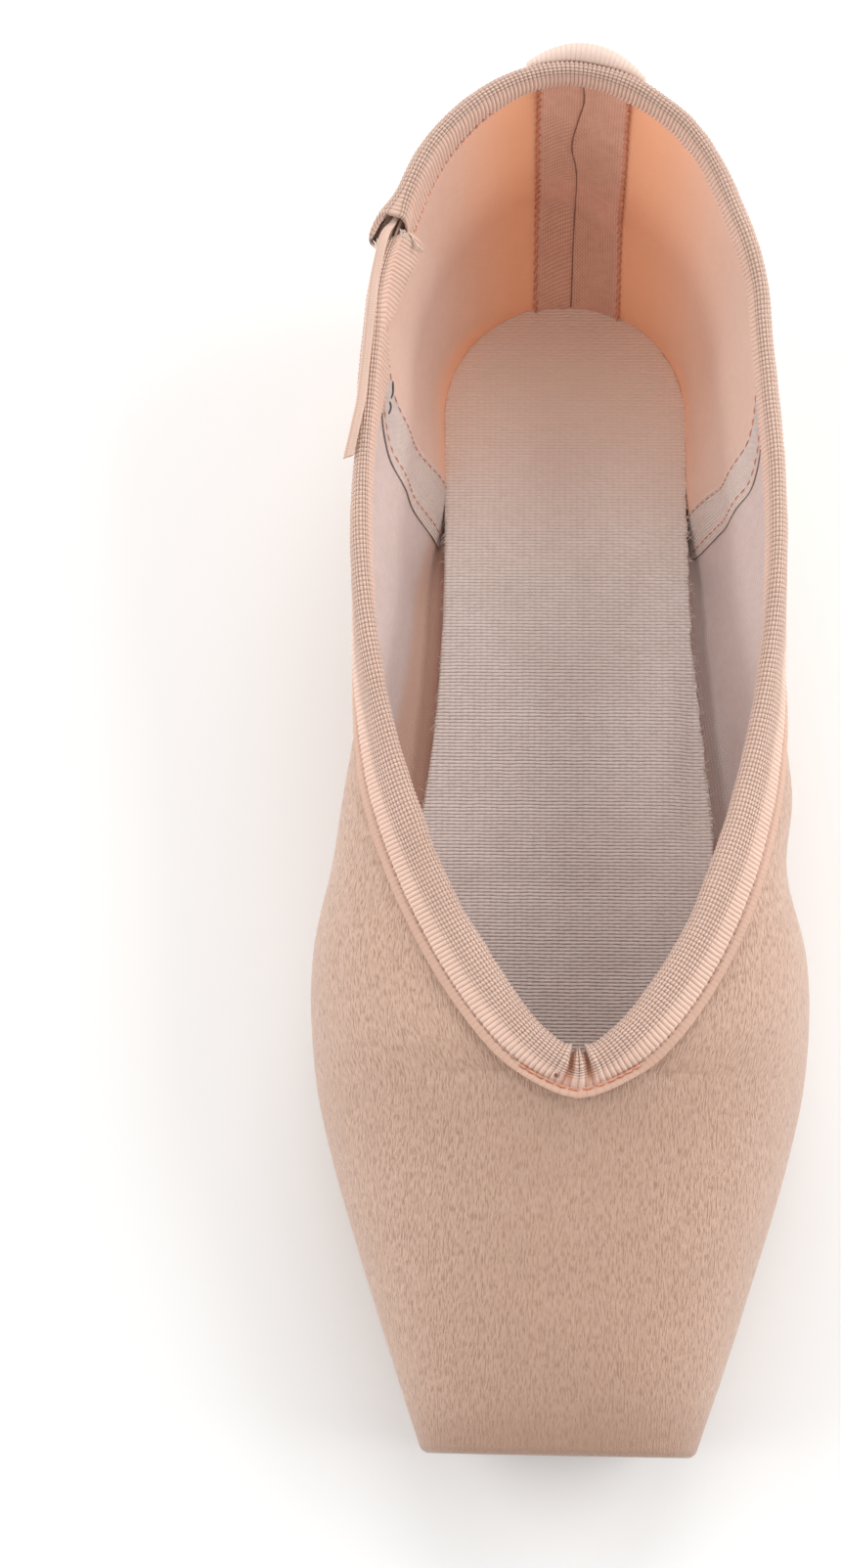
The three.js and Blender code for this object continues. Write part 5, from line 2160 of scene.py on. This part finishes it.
@dataclass
class HeelLoop:
    """The loop of ribbed tape on the heel, folded over at its top."""

    palette: Palette
    topline: Topline
    middle: float = 3.6
    span: float = 20.0
    top: float = 2.2
    bottom: float = 7.5
    lift: float = 2.3
    thickness: float = 0.65
    pitch: float = 0.72
    floor: float = 0.85

    def build(self) -> None:
        """Makes the loop."""
        count = int(self.span / self.pitch) * 4
        share = np.linspace(-1, 1, count + 1)[:, None]
        s = self.middle + share * self.span / 2
        gap = self.lift * np.cos(share * math.pi / 2) ** 1.1
        ridge = 0.13 * np.abs(np.sin((s - s[0]) / self.pitch * math.pi))
        leg = np.linspace(0, 1, 14)[None, :]
        turn = np.linspace(0, math.pi, 11)[None, 1:-1]
        whole = self.thickness + gap / 2
        middle = self.floor + whole
        low = self.bottom + 0 * s
        depths = [
            low + (-self.top - low) * leg,
            -self.top - (whole + ridge) * np.sin(turn),
            -self.top + (low + self.top) * leg,
            low + (-self.top - low) * leg[:, ::2],
            -self.top - gap / 2 * np.sin(turn[:, ::2]),
            -self.top + (low + self.top) * leg[:, ::2],
        ]
        heights = [
            middle + whole + ridge + 0 * leg,
            middle + (whole + ridge) * np.cos(turn),
            middle - whole + 0 * leg,
            middle - gap / 2 - 0.01 + 0 * leg[:, ::2],
            middle - (gap / 2 + 0.01) * np.cos(turn[:, ::2]),
            middle + gap / 2 + 0.01 + 0 * leg[:, ::2],
        ]
        depth = np.concatenate([d + 0 * s for d in depths], axis=1)
        height = np.concatenate([h + 0 * s for h in heights], axis=1)
        grid = spread(s, depth)
        wobble = 0.15 * noise(grid, 8, 5.0)
        height = height - 0.55 * smooth(-depth, 0.3, 2.4)
        rings = self.topline.at(s, depth + 0.5 * share**2, height + wobble * smooth(gap, 0.1, 0.8))
        flat = np.concatenate([np.linspace(-9, 9, 37), np.linspace(9, -9, depth.shape[1] - 37)])
        uv = spread(s - s[0], flat[None, :] + 20)
        piece = Bench.ring("heel_loop_tape", rings, uv)
        Bench.shade(piece, 60)
        Bench.finish(piece, "loop_tape", self.palette.loop)
        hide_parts("heel_loop")
        paths = []
        for end in (-1, 1):
            at = self.middle + end * (self.span / 2 - 1.1)
            for down in stitches_in(-0.6, 6.6, 1.6, 1.2):
                lift = self.floor + 2 * self.thickness + 0.4 + 0.1 * np.array([-1, 1, 1, -1])
                paths.append(self.topline.at(np.full(4, at), down, lift))
        Bench.sew("heel_loop_stitches", paths, Gauge.LOOSE, "loop_tape", self.palette.peach_thread)


@dataclass
class Bottom:
    """The outsole and the insole."""

    palette: Palette
    bevel: float = 0.8
    stitch_inset: float = 2.4
    round_steps: int = 5
    over_steps: int = 38
    under_steps: int = 20
    fuzz: tuple[tuple[int, int], ...] = ((1, 190), (-1, 60))

    def slab(
        self,
        name: str,
        ys: Array,
        left: Array,
        right: Array,
        low: Array,
        high: Array,
        soften: tuple[float, float],
        relief: Callable[[Array, Array], Array],
    ) -> Object:
        """A slab from sections across it.

        Args:
            name: The piece's name.
            ys: Places of the sections.
            left: Left edge at each.
            right: Right edge at each.
            low: Underside at each.
            high: Top at each.
            soften: Radii of the lower and upper edges.
            relief: Rise of the top by place across and along.

        Returns:
            The slab.
        """
        turn = np.linspace(0, math.pi / 2, self.round_steps)
        sine, cosine = 1 - np.sin(turn), 1 - np.cos(turn)
        unmoved = np.zeros(self.round_steps + self.under_steps)
        lift = np.concatenate([0 * turn, np.sin(turn), np.ones(self.over_steps), np.cos(turn), unmoved])
        rows = []
        for y, l, r, b, t in zip(ys, left, right, low, high):
            half = (r - l) / 2
            lower, upper = (min(value, half * 0.9, (t - b) / 2.05) for value in soften)
            over = np.linspace(l + upper, r - upper, self.over_steps + 2)[1:-1]
            under = np.linspace(r - lower, l + lower, self.under_steps + 2)[1:-1]
            sides = [l + lower * sine, l + upper * cosine, over, r - upper * sine, r - lower * cosine, under]
            up = [b + lower * cosine, t - upper * sine]
            down = [t - upper * cosine, b + lower * sine]
            x, z = np.concatenate(sides), np.concatenate([*up, 0 * over + t, *down, 0 * under + b])
            along_shoe = np.full_like(x, y)
            rows.append(np.stack([x, along_shoe, z + relief(x, along_shoe) * lift], axis=-1))
        points = np.array(rows)
        piece = Bench.ring(name, points, points[..., :2].copy())
        Bench.shade(piece, 50)
        return piece

    def ends(self, tip: float, radius: float, step: float) -> Array:
        """Places of sections from a tip to a half round end about the heel's pivot.

        Args:
            tip: The tip's place.
            radius: Radius of the half round.
            step: Distance between sections elsewhere.

        Returns:
            The places, rising.
        """
        front = tip + np.array([0, 0.05, 0.2, 0.5, 1, 1.8, 2.8, 4])
        body = along(tip + 5.2, LAST.pivot, step)
        back = LAST.pivot + radius * np.sin(np.linspace(0, 1, 22)[1:-1] * math.pi / 2)
        return np.concatenate([front, body, back, [LAST.pivot + radius * 0.9995]])

    @staticmethod
    def round_heel(ys: Array, radius: float, front: Array) -> Array:
        """Half widths as given in front of the heel's pivot, and a half round behind it."""
        back = np.sqrt(np.maximum(radius**2 - np.maximum(ys - LAST.pivot, 0) ** 2, 0.001))
        return np.where(ys > LAST.pivot, back, front)

    def outsole(self) -> None:
        """The leather outsole and its stitches."""
        radius = LAST.sole_widths[2] / 2
        ys = self.ends(LAST.sole_tip + 0.02, radius, 1.6)
        half = self.round_heel(ys, radius, LAST.sole_half(ys))
        sway = LAST.lines["sway"](np.minimum(ys, LAST.pivot))
        low = LAST.sole_line(ys)
        piece = self.slab(
            "outsole_leather",
            ys,
            sway - half,
            sway + half,
            low,
            low + LAST.sole_thickness,
            (self.bevel, 0.25),
            lambda x, y: 0.0 * x,
        )
        Bench.finish(piece, "sole_leather", self.palette.suede)
        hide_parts("outsole")
        self.sole_stitches(ys, sway, half)

    def sole_stitches(self, ys: Array, sway: Array, half: Array) -> None:
        """Sews round the outsole, just inside its edge.

        Args:
            ys: Places of sections along the outsole.
            sway: Its middle at each.
            half: Its half width at each.
        """
        inset = self.stitch_inset
        inner = np.maximum(half - inset, 0.2)
        keep = (ys > LAST.sole_tip + inset) & (ys < LAST.pivot + LAST.sole_widths[2] / 2 - inset)
        right = np.stack([sway + inner, ys], axis=-1)[keep]
        left = np.stack([sway - inner, ys], axis=-1)[keep][::-1]
        line = np.concatenate([right, left, right[:1]])
        run = run_along(line)
        paths = []
        for s in stitches_in(0, run[-1] - 2.5, 3.2, 2.2, 5):
            x, y = pick(line, run, s).T
            z = LAST.sole_line(y) + 0.02 + 0.12 * np.array([1, 0, 0, 0, 1])
            paths.append(np.stack([x, y, z + 0.14], axis=-1))
        Bench.sew("outsole_stitches", paths, Gauge.STOUT, "sole_leather", self.palette.pale_thread)

    def insole_relief(self, x: Array, y: Array) -> Array:
        """The sock's soft unevenness, the dent beside its right edge and the shallow crease across the ball.

        Args:
            x: Places across the shoe.
            y: Places along it.

        Returns:
            The rise at each place.
        """
        place = np.stack([x, y], axis=-1)
        rise = 0.12 * noise(place, 51, 16.0) + 0.05 * noise(place, 52, 4.0)
        dent = hump(x, 24.5, 2.6) * smooth(y, 100, 112) * smooth(y, 140, 130)
        return rise - 0.9 * dent - 0.25 * hump(y, 96, 3.0) * hump(x, 2, 20)

    def insole(self) -> None:
        """The insole with its muslin sock."""
        radius = LAST.insole_width / 2
        ys = self.ends(7.0, radius, 1.4)
        rough = 0.25 * noise(np.stack([ys, 0 * ys], -1), 61, 2.2)
        half = self.round_heel(ys, radius, LAST.lines["insole"](ys))
        middle = LAST.lines["sway"](np.minimum(ys, LAST.pivot)) + LAST.insole_shift
        low = LAST.inside_floor(ys)
        inside = np.clip(half / 4, 0, 1)
        piece = self.slab(
            "insole_sock",
            ys,
            middle - half + 0.2 * rough * inside,
            middle + half + rough * inside,
            low,
            low + LAST.insole_thickness,
            (0.3, 0.5),
            self.insole_relief,
        )
        Bench.finish(piece, "sock_cotton", self.palette.sock)
        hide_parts("insole")
        self.loose_threads(middle, half, ys, low)

    def loose_threads(self, middle: Array, half: Array, ys: Array, low: Array) -> None:
        """Adds fuzz along the sock's edges, most of it on the right.

        Args:
            middle: The insole's middle at each section.
            half: Its half width there.
            ys: Places of the sections.
            low: Its underside there.
        """
        rng = np.random.default_rng(11)
        paths = []
        for side, count in self.fuzz:
            for y in rng.uniform(104, 202, count):
                edge = np.interp(y, ys, middle + side * half)
                top = np.interp(y, ys, low) + LAST.insole_thickness
                t = np.linspace(0, 1, 6)
                reach = rng.uniform(0.4, 1.7)
                lean = rng.uniform(-1.6, 1.6)
                x = edge + side * (reach * t - 0.5)
                z = top - 0.25 + 0.45 * np.sin(t * math.pi) * rng.uniform(0.2, 1.0) - 0.7 * t**2
                paths.append(np.stack([x, y + lean * t**1.5, z], axis=-1))
        Bench.sew("sock_fuzz", paths, Gauge.FUZZ, "sock_cotton", self.palette.pale_thread, 0.4, 0)

    def build(self) -> None:
        """Makes the outsole and the insole."""
        self.outsole()
        self.insole()


# The studio


@dataclass(frozen=True)
class Studio:
    """The camera, the floor and the lights."""

    camera_place: Triple = (-8.0, 2.0, 400.0)
    camera_turn: Triple = (16.16, 2.13, 1.105)
    lens: float = 52.1
    floor: Colour = (0.94, 0.94, 0.935)
    horizon: Colour = (0.93, 0.92, 0.91)
    zenith: Colour = (0.36, 0.357, 0.352)

    def build(self) -> None:
        """Sets up the studio."""
        self.camera()
        self.ground()
        self.lamp("right box", (0.9, 0.1, 0.45), 0.9, 8.6)
        self.lamp("left box", (-0.9, 0.05, 0.45), 0.9, 7.0)
        self.lamp("heel box", (0.1, 0.8, 0.8), 0.7, 4.3)
        bpy.context.scene.view_settings.view_transform = "Standard"
        world = bpy.data.worlds.new("studio")
        world.use_nodes = True
        sketch = Sketch(world.node_tree)
        height = sketch.parts(sketch.node("ShaderNodeTexCoord").outputs["Generated"])[2]
        colour = sketch.blend(sketch.ramp(height, 0.05, 0.95), self.horizon, self.zenith)
        sketch.fill(world.node_tree.nodes["Background"], {"Color": colour})
        bpy.context.scene.world = world

    def camera(self) -> None:
        """The camera as the photograph was taken."""
        data = bpy.data.cameras.new("camera")
        data.lens = self.lens
        data.sensor_width = 36.0
        data.clip_start = 0.01
        camera = bpy.data.objects.new("camera", data)
        camera.location = Bench.lay(np.array(self.camera_place))
        camera.rotation_euler = [math.radians(angle) for angle in self.camera_turn]
        bpy.context.collection.objects.link(camera)
        bpy.context.scene.camera = camera

    def ground(self) -> None:
        """The plain floor."""
        Bench.clear()
        bpy.ops.mesh.primitive_plane_add(size=30.0, location=(0, 0, 0))
        floor = bpy.context.object
        floor.name = "floor"
        material = bpy.data.materials.new("Pale floor")
        material.use_nodes = True
        shader = material.node_tree.nodes["Principled BSDF"]
        shader.inputs["Base Color"].default_value = (*self.floor, 1.0)
        shader.inputs["Roughness"].default_value = 0.8
        floor.data.materials.append(material)

    @staticmethod
    def lamp(name: str, place: Triple, size: float, power: float) -> None:
        """A soft square lamp that looks at the shoe.

        Args:
            name: The lamp's name.
            place: Where it hangs.
            size: Its side.
            power: Its power in watts.
        """
        data = bpy.data.lights.new(name, "AREA")
        data.size = size
        data.energy = power
        lamp = bpy.data.objects.new(name, data)
        lamp.location = place
        lamp.rotation_euler = (Vector((0, 0, 0.02)) - Vector(place)).to_track_quat("-Z", "Y").to_euler()
        bpy.context.collection.objects.link(lamp)


def main() -> None:
    """Builds the studio and the shoe."""
    logging.basicConfig(level=logging.INFO, format="%(name)s %(message)s")
    Bench.set_up()
    Studio().build()
    topline = Topline()
    palette = Palette.mix(topline.right_end - Casing.break_at - Casing.gap / 2)
    Drawstring(palette, topline).build()
    Upper(palette, topline).build()
    Casing(palette, topline).build()
    HeelLoop(palette, topline).build()
    Bottom(palette).build()


if __name__ == "__main__":
    main()
